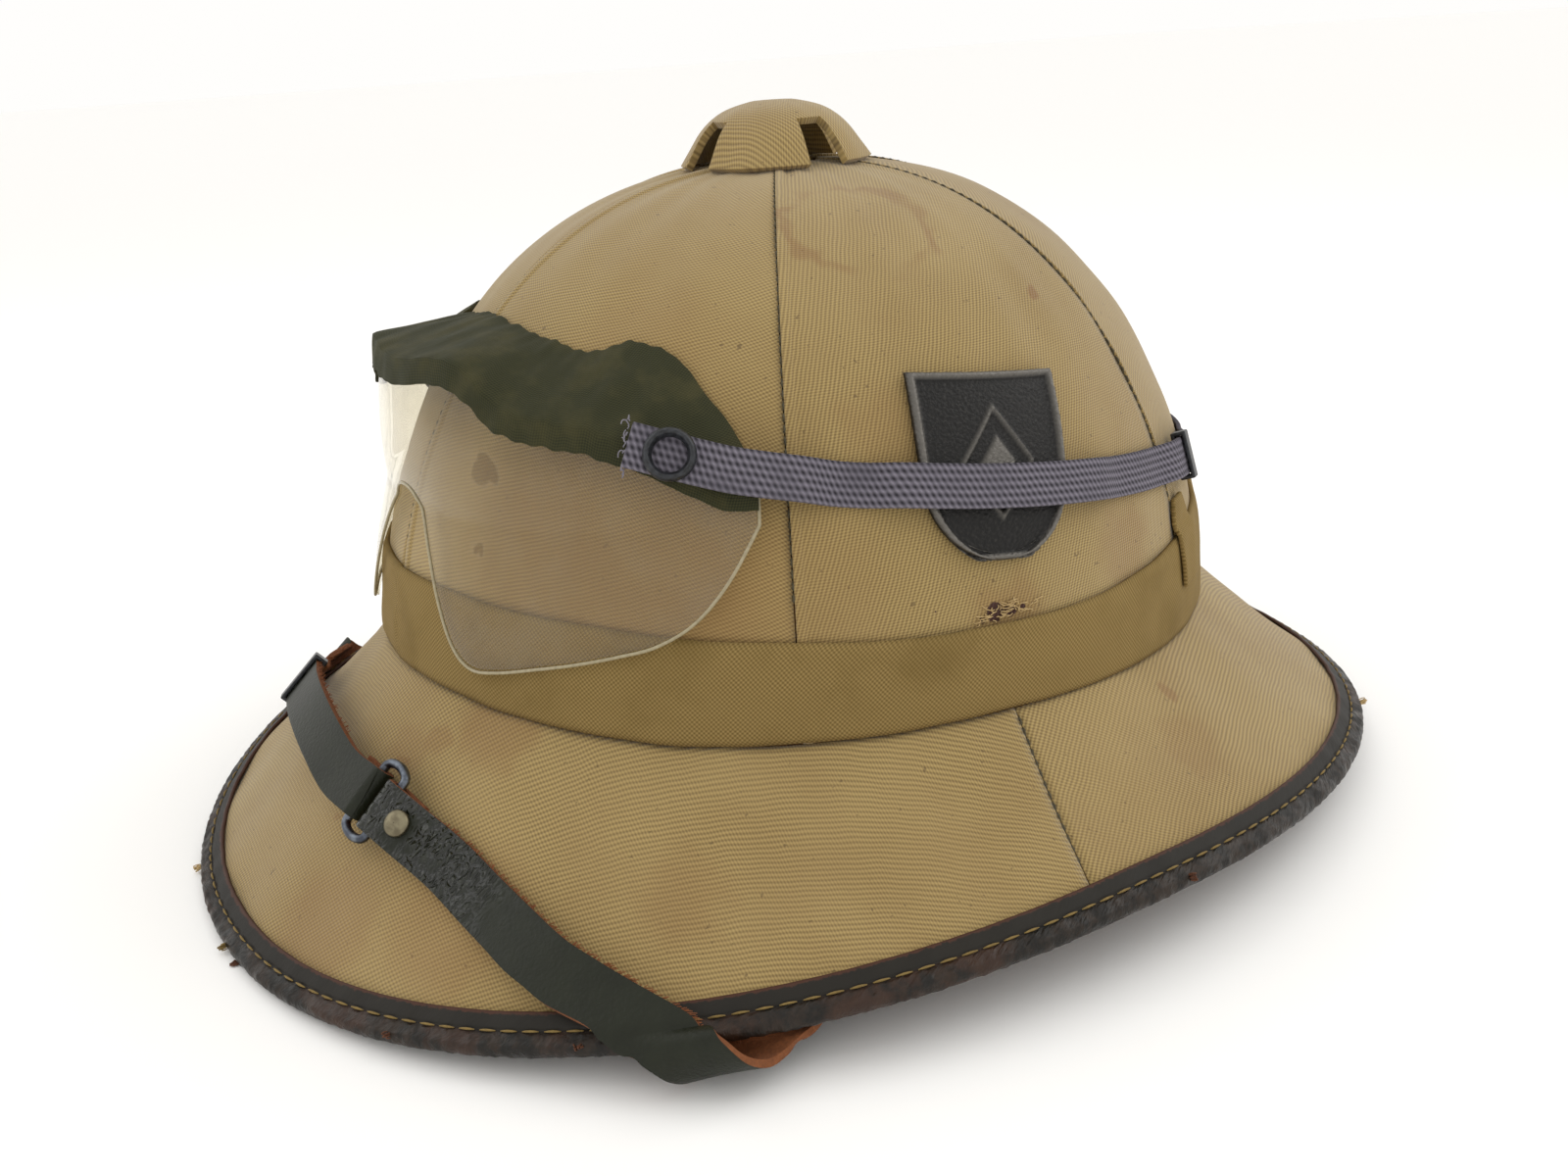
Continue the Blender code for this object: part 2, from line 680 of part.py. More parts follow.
def make_badge(collection, material):
    """A cast metal shield, bent to the crown, with a raised border."""
    front = []
    for number, (share, width) in enumerate(BADGE_OUTLINE):
        row = []
        for column in BADGE_COLUMNS:
            in_field = BADGE_FIELD_ROWS[0] <= number <= BADGE_FIELD_ROWS[1] and abs(column) < BADGE_FIELD
            across = column * width * BADGE_WIDTH / 2
            offset = GAP + BADGE_WALL + (0.0 if in_field else BADGE_BORDER)
            row.append(badge_point(across, (share - 0.5) * BADGE_LENGTH, offset))
        front.append(row)
    back = []
    for share, width in BADGE_OUTLINE:
        row = []
        for column in BADGE_COLUMNS:
            across = column * width * BADGE_WIDTH / 2
            row.append(badge_point(across, (share - 0.5) * BADGE_LENGTH, GAP))
        back.append(row)
    add_object("badge", closed_mesh("badge", np.array(front), np.array(back)), collection, material)


def closed_mesh(name, front, back):
    """A solid between two grids of the same size, joined round their edges."""
    row_count, column_count = front.shape[:2]
    solid = bmesh.new()
    front_points = [[solid.verts.new(point) for point in row] for row in front]
    back_points = [[solid.verts.new(point) for point in row] for row in back]
    for i in range(row_count - 1):
        for j in range(column_count - 1):
            for points in (front_points, back_points):
                solid.faces.new((points[i][j], points[i][j + 1], points[i + 1][j + 1], points[i + 1][j]))
    edge = [(0, j) for j in range(column_count)]
    edge += [(i, column_count - 1) for i in range(1, row_count)]
    edge += [(row_count - 1, j) for j in range(column_count - 2, -1, -1)]
    edge += [(i, 0) for i in range(row_count - 2, 0, -1)]
    for (i, j), (k, m) in zip(edge, edge[1:] + edge[:1]):
        solid.faces.new((front_points[i][j], front_points[k][m], back_points[k][m], back_points[i][j]))
    bmesh.ops.recalc_face_normals(solid, faces=solid.faces)
    mesh = bpy.data.meshes.new(name)
    solid.to_mesh(mesh)
    solid.free()
    return mesh


# Goggles

def goggle_height(share):
    """Height above the floor of a share of the goggles' height."""
    return CROWN_BASE + GOGGLE_LIFT + GOGGLE_HEIGHT * share


def lens_offset(turn, height):
    """Distance of the lens's outer face from the canvas: close below, upright in front above."""
    close = BAND_OUTSIDE + LENS_CLEARANCE + LENS_WALL
    spread = np.cos(np.radians(np.abs(turn) * LENS_SPREAD))
    climb = np.maximum(height - CROWN_BASE - LENS_BEND_HEIGHT, 0.0) / LENS_STAND_OFF_RISE
    return close + LENS_STAND_OFF * climb * spread


def goggle_edge(share, edge):
    return goggle_height(table_value(GOGGLE_EDGES, np.abs(share), GOGGLE_COLUMNS[edge]))


def goggle_shares():
    shares = np.array([row[0] for row in GOGGLE_EDGES])
    return np.concatenate([-shares[:0:-1], shares])


def brow_fold_height(low, high):
    """The brow bends back to the crown here, over the lens's upper edge."""
    return np.minimum(low + LENS_TUCK + GAP, low + (high - low) * BROW_FOLD_SHARE)


def make_lens(collection, material):
    """One clear moulded sheet with a nose arch, hung under the brow."""
    shares = goggle_shares()
    turns = shares * GOGGLE_HALF_SPAN
    low = goggle_edge(shares, "lens low")
    fold = brow_fold_height(goggle_edge(shares, "brow low"), goggle_edge(shares, "brow high"))
    high = fold - LENS_BELOW_FOLD
    rows = []
    for share in np.linspace(0.0, 1.0, LENS_ROWS):
        height = low + (high - low) * share
        rows.append(crown_point(GOGGLE_ANGLE + turns, height, lens_offset(turns, height))[0])
    add_sheet("goggle_lens", np.array(rows), LENS_WALL, collection, material)


def brow_rows(share):
    """Heights and offsets of the brow: over the lens's top, then leaning back to the crown."""
    turn = share * GOGGLE_HALF_SPAN
    low, high = goggle_edge(share, "brow low"), goggle_edge(share, "brow high")
    fold = brow_fold_height(low, high)
    on_crown = np.full_like(high, GAP + BROW_WALL)
    over_lens = BROW_CLEARANCE + BROW_WALL
    offset_fold = lens_offset(turn, fold) + over_lens
    middle = fold + (high - fold) * (1 - BROW_LEAN)
    offset_middle = on_crown + (offset_fold - on_crown) * BROW_LEAN
    heights = (low, fold, middle, high)
    return heights, (lens_offset(turn, low) + over_lens, offset_fold, offset_middle, on_crown)


def make_brow(collection, material):
    """The oilcloth strip that the lens hangs from, with its wavy outline."""
    shares = goggle_shares()
    rows = [crown_point(GOGGLE_ANGLE + shares * GOGGLE_HALF_SPAN, height, offset)[0]
            for height, offset in zip(*brow_rows(shares))]
    add_sheet("goggle_brow", np.array(rows), BROW_WALL, collection, material)


def web_height(turn):
    """Height of the middle of the webbing, at an angle from the middle of the goggles."""
    end = np.clip((SNAP_ANGLE - GOGGLE_ANGLE + WEB_END_SPREAD - np.abs(turn)) / WEB_END_SPREAD, 0.0, 2.0)
    level = CROWN_BASE + WEB_MEAN_HEIGHT + WEB_PITCH * np.cos(np.radians(turn))
    return level + WEB_END_RISE * end


def lies_under_web(turn):
    """Distance from the canvas to the top of what lies under the webbing at one angle."""
    angle = GOGGLE_ANGLE + turn
    height = float(web_height(turn))
    tops = [WEB_LIE]
    if abs(turn) <= GOGGLE_HALF_SPAN:
        heights, offsets = brow_rows(abs(turn) / GOGGLE_HALF_SPAN)
        spots = np.linspace(height - WEB_WIDTH / 2, height + WEB_WIDTH / 2, WEB_PROBES)
        tops.append(max(np.interp(spots, heights, offsets)) + 2 * GAP)
        tops.append(max(lens_offset(turn, spots)) + GAP)
    badge_reach = math.degrees((BADGE_WIDTH / 2 + WEB_WIDTH / 4) / CROWN_HALF_WIDTH)
    if abs(angle - BADGE_ANGLE) < badge_reach:
        tops.append(BADGE_OUTSIDE + 2 * GAP)
    if abs(angle - SLIDE_ANGLE) < math.degrees(SLIDE_LENGTH / CROWN_HALF_WIDTH):
        tops.append(SLIDE_WALL + SLIDE_CLEARANCE)
    if height - WEB_WIDTH / 2 < band_top(angle) + GAP:
        tops.append(BAND_OUTSIDE + GAP)
    return max(tops)


def web_seat(turn):
    """Distance of the webbing's inner face from the canvas, sloping down beside what it rides over."""
    tops = []
    for away in np.arange(-WEB_REACH, WEB_REACH + 1.0):
        spot = (turn + away + 180.0) % 360.0 - 180.0
        tops.append(lies_under_web(spot) - WEB_SLOPE * max(abs(away) - WEB_FLAT, 0.0))
    return max(tops)


def web_direction(turn):
    """Direction of the webbing at one angle."""
    ends = [crown_point(GOGGLE_ANGLE + spot, web_height(spot), web_seat(spot))[0]
            for spot in (turn - WEB_STEP, turn + WEB_STEP)]
    return unit(ends[1] - ends[0])


def make_webbing(collection, material, metal, slide_material):
    """The elastic runs from the left snap round the rear to the right one."""
    first = WEB_TAIL_ANGLE - GOGGLE_ANGLE
    count = round((360.0 - 2 * first) / WEB_STEP)
    turns = np.linspace(first, 360.0 - first, count + 1)
    signed = np.where(turns > 180.0, turns - 360.0, turns)
    seats = np.array([web_seat(float(turn)) for turn in signed])
    points, normals = crown_point(GOGGLE_ANGLE + turns, web_height(signed), seats)
    add_ribbon("goggle_strap", points, normals, WEB_WIDTH, WEB_WALL, collection, material)
    for side, sign in SIDE.items():
        turn = sign * (SNAP_ANGLE - GOGGLE_ANGLE)
        offset = web_seat(turn) + WEB_WALL + SNAP_GAP
        centre, normal = crown_point(GOGGLE_ANGLE + turn, web_height(turn), offset)
        along = web_direction(turn)
        normal = unit(normal - along * (normal @ along))
        add_disc(f"goggle_snap_{side}", centre, normal, SNAP_RADIUS, SNAP_THICKNESS, collection, metal)
    place = SLIDE_ANGLE - GOGGLE_ANGLE
    middle = web_seat(place) + WEB_WALL / 2
    centre, normal = crown_point(SLIDE_ANGLE, web_height(place), middle)
    inside = (WEB_WIDTH + 2 * GAP, WEB_WALL + 2 * GAP)
    add_collar("goggle_slide", centre, normal, web_direction(place), inside, SLIDE_LENGTH,
               SLIDE_WALL, collection, slide_material)


# Chin strap

def ring_place():
    """Centre of the steel ring, the direction out of the brim and the direction along the strap."""
    lift = STRAP_LIE + STRAP_WALL + GAP + RING_WIRE_RADIUS
    centre, normal = brim_point(RING_ANGLE, RING_SHARE, lift)
    first, second = STRAP_LEFT_TOP[0], STRAP_RIGHT_TOP[0]
    left = brim_point(first[0], first[1])[0]
    right = brim_point(second[0], second[1])[0]
    along = left - right
    along = unit(along - normal * (along @ normal))
    return centre, normal, along


def fold_round_ring(sign):
    """The strap's end goes over its bar of the ring, turns and comes back under itself."""
    centre, normal, along = ring_place()
    bar = centre + along * sign * RING_SPACING / 2
    radius = RING_WIRE_RADIUS + GAP
    path = [(bar + along * sign * STRAP_TAIL - normal * radius, -normal),
            (bar + along * sign * STRAP_TAIL / 2 - normal * radius, -normal)]
    for turn in np.linspace(-90.0, 90.0, BEND_STEPS):
        direction = normal * math.sin(math.radians(turn)) - along * sign * math.cos(math.radians(turn))
        path.append((bar + direction * radius, direction))
    return path


def strap_path(sign, top):
    """Points, directions and skews of a strap's inner face, from the ring to its hidden end."""
    path = [(point, normal, 0.0) for point, normal in fold_round_ring(sign)]
    level = sign / math.tan(math.radians(STRAP_CROSSING))
    path += [(*brim_point(angle, share, lift), level * turned) for angle, share, lift, turned in top]
    for step in range(STRAP_TURN_STEPS + 1):
        share = step / STRAP_TURN_STEPS
        angle = STRAP_TURN_START + (STRAP_TURN_END - STRAP_TURN_START) * share
        lift = STRAP_LIE + STRAP_LOOSE * math.sin(math.pi * share)
        path.append((*rim_point(sign * angle, 90.0 - 180.0 * share, ROLL_RADIUS + lift), level))
    for angle, share, depth, turned in STRAP_BELOW:
        point, normal = brim_point(sign * angle, share, -CORE - depth)
        path.append((point, -normal, level * turned))
    points, normals, skews = zip(*path)
    return np.array(points), np.array(normals), np.array(skews)


def make_chin_strap(collection, leather, steel, brass, painted):
    for side, sign in SIDE.items():
        top = STRAP_LEFT_TOP if sign > 0 else STRAP_RIGHT_TOP
        points, normals, skews = strap_path(sign, top)
        add_ribbon(f"chin_strap_{side}", points, normals, STRAP_WIDTH, STRAP_WALL, collection, leather,
                   skews)
        angle, share, depth = STRAP_BELOW[-2][:3]
        under = CORE + depth + STRAP_WALL + ANCHOR_GAP
        centre, normal = brim_point(sign * angle, share, -under)
        add_disc(f"strap_anchor_{side}", centre, -normal, ANCHOR_RADIUS, ANCHOR_HEAD, collection, brass)
    make_ring(collection, steel)
    make_rivet(collection, brass)
    make_buckle(collection, painted)


def make_rivet(collection, material):
    """The rivet's head lies on the left strap, just beyond the ring."""
    folded = fold_round_ring(1.0)[-1][0]
    angle, share, lift = STRAP_LEFT_TOP[0][:3]
    ahead = brim_point(angle, share, lift)[0]
    along = unit(ahead - folded)
    normal = ring_place()[1]
    normal = unit(normal - along * (normal @ along))
    seat = folded + along * RIVET_SETBACK + normal * (STRAP_WALL + GAP)
    add_disc("strap_rivet", seat, normal, RIVET_RADIUS, RIVET_HEAD, collection, material)


def make_ring(collection, material):
    """A steel wire ring with two straight bars."""
    centre, normal, along = ring_place()
    across = np.cross(normal, along)
    radius = RING_SPACING / 2
    straight = STRAP_WIDTH / 2 + RING_EASE
    curve = bpy.data.curves.new("strap_ring", "CURVE")
    curve.dimensions = "3D"
    curve.bevel_depth = RING_WIRE_RADIUS
    curve.bevel_resolution = 2
    spline = curve.splines.new("POLY")
    points = []
    for end in (1.0, -1.0):
        for turn in np.linspace(0.0, 180.0, BEND_STEPS):
            swing = math.radians(turn)
            reach = end * (straight + radius * math.sin(swing))
            points.append(centre + across * reach + along * end * radius * math.cos(swing))
    spline.points.add(len(points) - 1)
    for spot, point in zip(spline.points, points):
        spot.co = (*point, 1.0)
    spline.use_cyclic_u = True
    add_object("strap_ring", curve, collection, material)


def make_buckle(collection, material):
    """The flat slide on the strap's right part, above the front of the brim."""
    angles = [row[0] for row in STRAP_RIGHT_TOP][::-1]
    shares = [row[1] for row in STRAP_RIGHT_TOP][::-1]
    lifts = [row[2] for row in STRAP_RIGHT_TOP][::-1]

    def place(angle):
        share = float(np.interp(angle, angles, shares))
        lift = float(np.interp(angle, angles, lifts))
        return brim_point(angle, share, lift + STRAP_WALL / 2)

    centre, normal = place(BUCKLE_ANGLE)
    along = unit(place(BUCKLE_ANGLE + 1.0)[0] - place(BUCKLE_ANGLE - 1.0)[0])
    normal = unit(normal - along * (normal @ along))
    inside = (STRAP_WIDTH + 2 * BUCKLE_CLEARANCE, STRAP_WALL + 2 * BUCKLE_CLEARANCE)
    add_collar("strap_slide", centre, normal, along, inside, BUCKLE_LENGTH, BUCKLE_WALL,
               collection, material)


def main():
    clear_scene()
    parts = make_collection("pith_helmet")
    cutters = make_collection("cutters")
    cork = make_material("cork", (0.30, 0.15, 0.07), 0.9)
    canvas = make_material("canvas", (0.43, 0.31, 0.15), 0.9)
    cotton = make_material("cotton_band", (0.31, 0.24, 0.11), 0.85)
    leather = make_material("leather", (0.04, 0.045, 0.04), 0.5)
    binding = make_material("binding_leather", (0.035, 0.028, 0.022), 0.55)
    cast_zinc = make_material("cast_zinc", (0.03, 0.032, 0.034), 0.45, 0.8)
    clear = make_material("clear_sheet", (0.85, 0.84, 0.78), 0.08, 0.0, 0.3)
    oilcloth = make_material("oilcloth", (0.045, 0.055, 0.028), 0.7)
    webbing = make_material("webbing", (0.17, 0.15, 0.19), 0.9)
    black_metal = make_material("black_metal", (0.03, 0.03, 0.03), 0.5, 0.6)
    steel = make_material("steel", (0.20, 0.21, 0.24), 0.4, 1.0)
    brass = make_material("worn_brass", (0.30, 0.26, 0.18), 0.4, 1.0)

    make_cork_shell(parts, cork)
    make_crown_panels(parts, cutters, canvas)
    make_brim_covers(parts, canvas)
    make_binding(parts, binding)
    make_band(parts, cotton)
    make_cap(parts, canvas)
    make_badge(parts, cast_zinc)
    make_lens(parts, clear)
    make_brow(parts, oilcloth)
    make_webbing(parts, webbing, black_metal, black_metal)
    make_chin_strap(parts, leather, steel, brass, black_metal)


main()
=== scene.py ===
# %% [markdown]
# # A cork sun helmet with sand goggles
#
# This lesson dresses a plain, measured model of a helmet as the real one: canvas over pressed cork,
# a cotton band, leather edging, clear goggles on elastic webbing and a leather chin strap. The
# measured model comes first, because every piece takes its place from it.

# %% Load the measured model
import math

import bmesh
import bpy
import numpy as np
from mathutils import Matrix, Vector


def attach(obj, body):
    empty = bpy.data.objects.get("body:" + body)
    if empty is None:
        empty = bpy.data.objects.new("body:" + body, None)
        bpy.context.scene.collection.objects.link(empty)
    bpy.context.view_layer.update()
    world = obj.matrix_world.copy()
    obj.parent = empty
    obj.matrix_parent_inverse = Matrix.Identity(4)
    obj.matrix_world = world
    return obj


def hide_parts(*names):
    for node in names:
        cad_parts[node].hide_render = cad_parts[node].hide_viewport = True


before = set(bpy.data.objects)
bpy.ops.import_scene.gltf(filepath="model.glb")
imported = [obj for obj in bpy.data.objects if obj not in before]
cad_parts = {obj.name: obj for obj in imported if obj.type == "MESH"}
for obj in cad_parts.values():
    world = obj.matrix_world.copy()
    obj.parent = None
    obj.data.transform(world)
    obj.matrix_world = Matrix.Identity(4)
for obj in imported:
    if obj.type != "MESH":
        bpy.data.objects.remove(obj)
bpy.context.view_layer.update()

print("pieces of the measured model:", len(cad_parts))

# %% [markdown]
# ## Camera
#
# The photograph looks down on the helmet's left front from two hand spans away. A camera is a point,
# a direction and a lens, so its three axes are worked out from the angles and set as one matrix.

# %% Camera
PHOTO_WIDTH = 1600
SENSOR = 36.0
FOCAL_PIXELS = 1435
CAMERA_TURN = math.radians(59.32)
CAMERA_RISE = math.radians(20.92)
CAMERA_ROLL = math.radians(-3.82)
CAMERA_DISTANCE = 0.408
TARGET_HEIGHT = 0.04552
TARGET_SHIFT = -0.00161

back = Vector((math.sin(CAMERA_TURN) * math.cos(CAMERA_RISE),
               -math.cos(CAMERA_TURN) * math.cos(CAMERA_RISE), math.sin(CAMERA_RISE)))
level = Vector((math.cos(CAMERA_TURN), math.sin(CAMERA_TURN), 0.0))
up = back.cross(level)
camera_right = level * math.cos(CAMERA_ROLL) + up * math.sin(CAMERA_ROLL)
camera_up = up * math.cos(CAMERA_ROLL) - level * math.sin(CAMERA_ROLL)
camera = bpy.data.objects.new("camera", bpy.data.cameras.new("camera"))
bpy.context.scene.collection.objects.link(camera)
camera.data.sensor_width = SENSOR
camera.data.lens = SENSOR * FOCAL_PIXELS / PHOTO_WIDTH
camera.data.clip_start = 0.01
target = Vector((0.0, 0.0, TARGET_HEIGHT)) + camera_right * TARGET_SHIFT
axes = Matrix((camera_right, camera_up, back)).transposed().to_4x4()
camera.matrix_world = Matrix.Translation(target + back * CAMERA_DISTANCE) @ axes
bpy.context.scene.camera = camera
print("lens in millimetres:", round(camera.data.lens, 1))

# %% [markdown]
# ## Nodes and colours
#
# A material is a small net of nodes. One function adds a node with its fields and its inputs, and
# another turns the hex colours that people know into the linear light that the renderer counts in.

# %% Node and colour helpers
MIX_FACTOR, MIX_FIRST, MIX_SECOND, MIX_RESULT = 0, 6, 7, 2


def linear(text):
    """A hex colour as linear light with an alpha of one."""
    values = [int(text[i:i + 2], 16) / 255 for i in (1, 3, 5)]
    return [v / 12.92 if v <= 0.04045 else ((v + 0.055) / 1.055) ** 2.4 for v in values] + [1.0]


def start_material(name, roughness, metallic=0.0, gloss=0.5):
    """Starts a material. The helpers below add to the newest one, whose tree and shader are global."""
    global tree, shader
    material = bpy.data.materials.new(name)
    material.use_nodes = True
    tree = material.node_tree
    shader = tree.nodes["Principled BSDF"]
    for socket, value in (("Roughness", roughness), ("Metallic", metallic), ("Specular IOR Level", gloss)):
        shader.inputs[socket].default_value = value
    return material


def add_node(kind, inputs, output=0, **fields):
    """Adds a node and gives one of its outputs. An input is a value, a hex colour or an output to link."""
    made = tree.nodes.new(kind)
    for field, value in fields.items():
        setattr(made, field, value)
    for key, value in inputs.items():
        if isinstance(value, bpy.types.NodeSocket):
            tree.links.new(value, made.inputs[key])
        else:
            made.inputs[key].default_value = linear(value) if isinstance(value, str) else value
    return made.outputs[output]


def feed(socket, value):
    """Links a value to an input of the shader."""
    tree.links.new(value, shader.inputs[socket])


print("canvas tan in linear light:", [round(value, 3) for value in linear("#B39A6B")[:3]])

# %% [markdown]
# ## Where a point of cloth lies
#
# Weaves need a flat measure: how far along and across the cut cloth a point lies. Every sheet below
# keeps it as a UV map called flat, in metres, so a thread can be given its real width in
# millimetres. Stains need the place on the helmet instead, which is the object coordinate.

# %% Pattern helpers
MILLIMETRES = 1000.0


def scaled(vector, factor):
    return add_node("ShaderNodeVectorMath", {0: vector, 1: factor}, operation="MULTIPLY")


def flat_place():
    """The place in the flat cloth, in millimetres."""
    return scaled(add_node("ShaderNodeUVMap", {}, uv_map="flat"), (MILLIMETRES,) * 3)


def body_place():
    """The place on the helmet, in millimetres."""
    return scaled(add_node("ShaderNodeTexCoord", {}, "Object"), (MILLIMETRES,) * 3)


def maths(operation, first, second=0.0):
    return add_node("ShaderNodeMath", {0: first, 1: second}, operation=operation)


def plus(first, second):
    return maths("ADD", first, second)


def minus(first, second):
    return maths("SUBTRACT", first, second)


def times(first, second):
    return maths("MULTIPLY", first, second)


def distance_to(place, point):
    return add_node("ShaderNodeVectorMath", {0: place, 1: point}, "Value", operation="DISTANCE")


def ribs(place, spacing, turn=0.0):
    """Parallel ribs with the given spacing in millimetres, between -1 and 1."""
    step = math.tau / spacing
    direction = (step * math.sin(math.radians(turn)), step * math.cos(math.radians(turn)), 0.0)
    along = add_node("ShaderNodeVectorMath", {0: place, 1: direction}, "Value", operation="DOT_PRODUCT")
    return maths("SINE", along)


def clouds(place, grain, detail=3.0, roughness=0.55):
    """Soft noise with a grain in millimetres, between 0 and 1."""
    return add_node("ShaderNodeTexNoise", {"Vector": place, "Scale": 1.0 / grain, "Detail": detail,
                                           "Roughness": roughness})


def wobble(place, grain, reach):
    """Moves a place about by soft noise, so that no line stays perfectly straight."""
    noise = add_node("ShaderNodeTexNoise", {"Vector": place, "Scale": 1.0 / grain, "Detail": 1.0}, "Color")
    shift = add_node("ShaderNodeVectorMath", {0: noise, 1: (0.5, 0.5, 0.5)}, operation="SUBTRACT")
    return add_node("ShaderNodeVectorMath", {0: place, 1: scaled(shift, (reach,) * 3)}, operation="ADD")


def mixed(factor, first, second):
    """A mix of two colours, each a hex colour or an output."""
    return add_node("ShaderNodeMix", {MIX_FACTOR: factor, MIX_FIRST: first, MIX_SECOND: second}, MIX_RESULT,
                    data_type="RGBA")


def stepped(value, low, high):
    """0 below low, 1 above high and a smooth rise between them."""
    return add_node("ShaderNodeMapRange", {"Value": value, "From Min": low, "From Max": high},
                    interpolation_type="SMOOTHSTEP")


def ranged(value, low, high):
    """Spreads a value of 0 to 1 from low to high."""
    return add_node("ShaderNodeMapRange", {"Value": value, "To Min": low, "To Max": high})


def bumped(height, depth):
    """Sets the shader's bump from a height between 0 and 1 and its depth in millimetres."""
    feed("Normal", add_node("ShaderNodeBump", {"Height": height, "Distance": depth / MILLIMETRES}))


print("pattern helpers ready")

# %% [markdown]
# ## Canvas
#
# The cover is a cotton twill: slanting ribs about a millimetre apart, each made of short floats of
# yarn. Two sets of waves, one along the ribs and one across the yarns, give both the colour and the
# relief. Sweat, dust and water have left blotches, so soft noise and a few measured spots tint it.
# One wide spot round the goggles is painted shade, and the worn holes carry painted shade as well.

# %% Cotton twill
TWILL_RIB = 0.88
TWILL_YARN = 0.62
TWILL_SLANT = 62.0
TWILL_RELIEF = 0.12
STAIN_AND_SHADE_COLOUR = "#7E5A30"
# place in millimetres on the helmet, radius, strength
STAINS_AND_SHADE = (
    ((71.8, 29.6, 133.6), 3.2, 0.75),
    ((85.5, -24.2, 113.0), 14.0, 0.20),
    ((98.8, 34.9, 75.5), 14.0, 0.30),
    ((42.1, -104.7, 52.2), 15.0, 0.40),
    ((24.0, -122.1, 42.5), 9.0, 0.30),
    ((65.7, -127.4, 20.2), 22.0, 0.30),
    ((38.0, -150.0, 12.0), 20.0, 0.35),
    ((107.3, 40.8, 40.7), 3.0, 0.55),
    ((119.5, 36.6, 31.0), 12.0, 0.25),
    ((95.0, -86.0, 22.0), 16.0, 0.22),
    ((103.6, -5.6, 71.0), 12.0, 0.30),
    ((45.0, -60.0, 125.0), 26.0, 0.18),
    ((22.9, -123.4, 41.2), 2.6, 0.45),
    ((17.3, -138.1, 28.1), 2.4, 0.40),
    ((30.0, -116.0, 46.5), 5.0, 0.35),
    # painted shade: this wide spot darkens the canvas behind and round the goggles, where their shade falls
    ((62.0, -82.0, 92.0), 46.0, 0.34),
    ((88.0, -52.0, 78.0), 30.0, 0.16),
)
# place and radius of the worn holes, where the cork shows, painted darker than the cork as painted shade in
# the opening
HOLES = (
    ((103.0, -9.1, 72.3), 2.5),
    ((103.5, -5.1, 71.9), 1.9),
    ((102.7, -12.5, 71.2), 0.9),
    ((103.8, -1.7, 71.9), 0.8),
    ((99.7, -23.2, 75.0), 0.35),
)
# the cork's own brown darkened with painted shade inside the holes
HOLE_CORK_AND_SHADE_COLOUR = "#3A1B10"
# centre, radius and half width of the tide mark that water left near the top
TIDE_MARK = ((53.0, -6.0, 152.0), 17.0, 2.6)


def stained_and_shaded(place, colour):
    """Mixes the stains, the painted shade round the goggles, the tide mark and the holes into a colour."""
    moved = wobble(place, 7.0, 9.0)
    for point, radius, strength in STAINS_AND_SHADE:
        edge = stepped(distance_to(moved, point), radius, radius * 0.45)
        colour = mixed(times(edge, strength), colour, STAIN_AND_SHADE_COLOUR)
    point, radius, width = TIDE_MARK
    off = maths("ABSOLUTE", minus(distance_to(moved, point), radius))
    patchy = stepped(clouds(place, 14.0, 1.0), 0.38, 0.62)
    colour = mixed(times(times(stepped(off, width, 0.2), patchy), 0.5), colour, STAIN_AND_SHADE_COLOUR)
    torn = wobble(place, 1.2, 1.1)
    for point, radius in HOLES:
        # the holes: colour of the cork beneath, darkened with painted shade
        colour = mixed(stepped(distance_to(torn, point), radius, radius * 0.8), colour, HOLE_CORK_AND_SHADE_COLOUR)
    return colour


twill = start_material("cotton_twill", 0.92)
place = body_place()
flat = wobble(flat_place(), 8.0, 0.7)
weave = plus(times(ribs(flat, TWILL_RIB), 0.30), times(ribs(flat, TWILL_YARN, TWILL_SLANT), 0.22))
weave = plus(weave, 0.5)
threads = mixed(weave, "#705B34", "#B0975F")
threads = mixed(times(stepped(clouds(place, 38.0, 4.0), 0.35, 0.75), 0.35), threads, "#7C6036")
threads = mixed(times(stepped(clouds(place, 60.0, 2.0), 0.45, 0.8), 0.30), threads, "#AC9565")
threads = mixed(times(stepped(clouds(place, 1.6, 1.0), 0.735, 0.78), 0.55), threads, "#4E3A22")
feed("Base Color", stained_and_shaded(place, threads))
shader.inputs["Sheen Weight"].default_value = 0.25
bumped(weave, TWILL_RELIEF)
print("twill made with", len(tree.nodes), "nodes")

# %% [markdown]
# ## The other cloths
#
# The band is a plain cotton weave cut on the slant, so its threads cross the band at 45 degrees. The
# goggles' brow is an oiled cotton: the same weave, but filled and dull. Elastic webbing shows cords
# along it, held by cross threads. Each is again two sets of ribs at its own spacing.

# %% Band, brow and webbing
BAND_THREAD = 0.75
BROW_THREAD = 0.60
WEB_CORD = 1.70
WEB_THREAD = 1.30


def woven(name, roughness, spacings, turns, tones, tint, relief, blotch):
    """A cloth of two crossing sets of threads, with soft blotches in a second tint."""
    material = start_material(name, roughness, gloss=0.2)
    flat = wobble(flat_place(), 6.0, 0.35)
    first, second = (times(ribs(flat, spacing, turn), 0.25) for spacing, turn in zip(spacings, turns))
    weave = plus(plus(first, second), 0.5)
    spots = stepped(clouds(body_place(), blotch, 4.0), 0.42, 0.72)
    feed("Base Color", mixed(times(spots, 0.45), mixed(weave, *tones), tint))
    bumped(weave, relief)
    return material


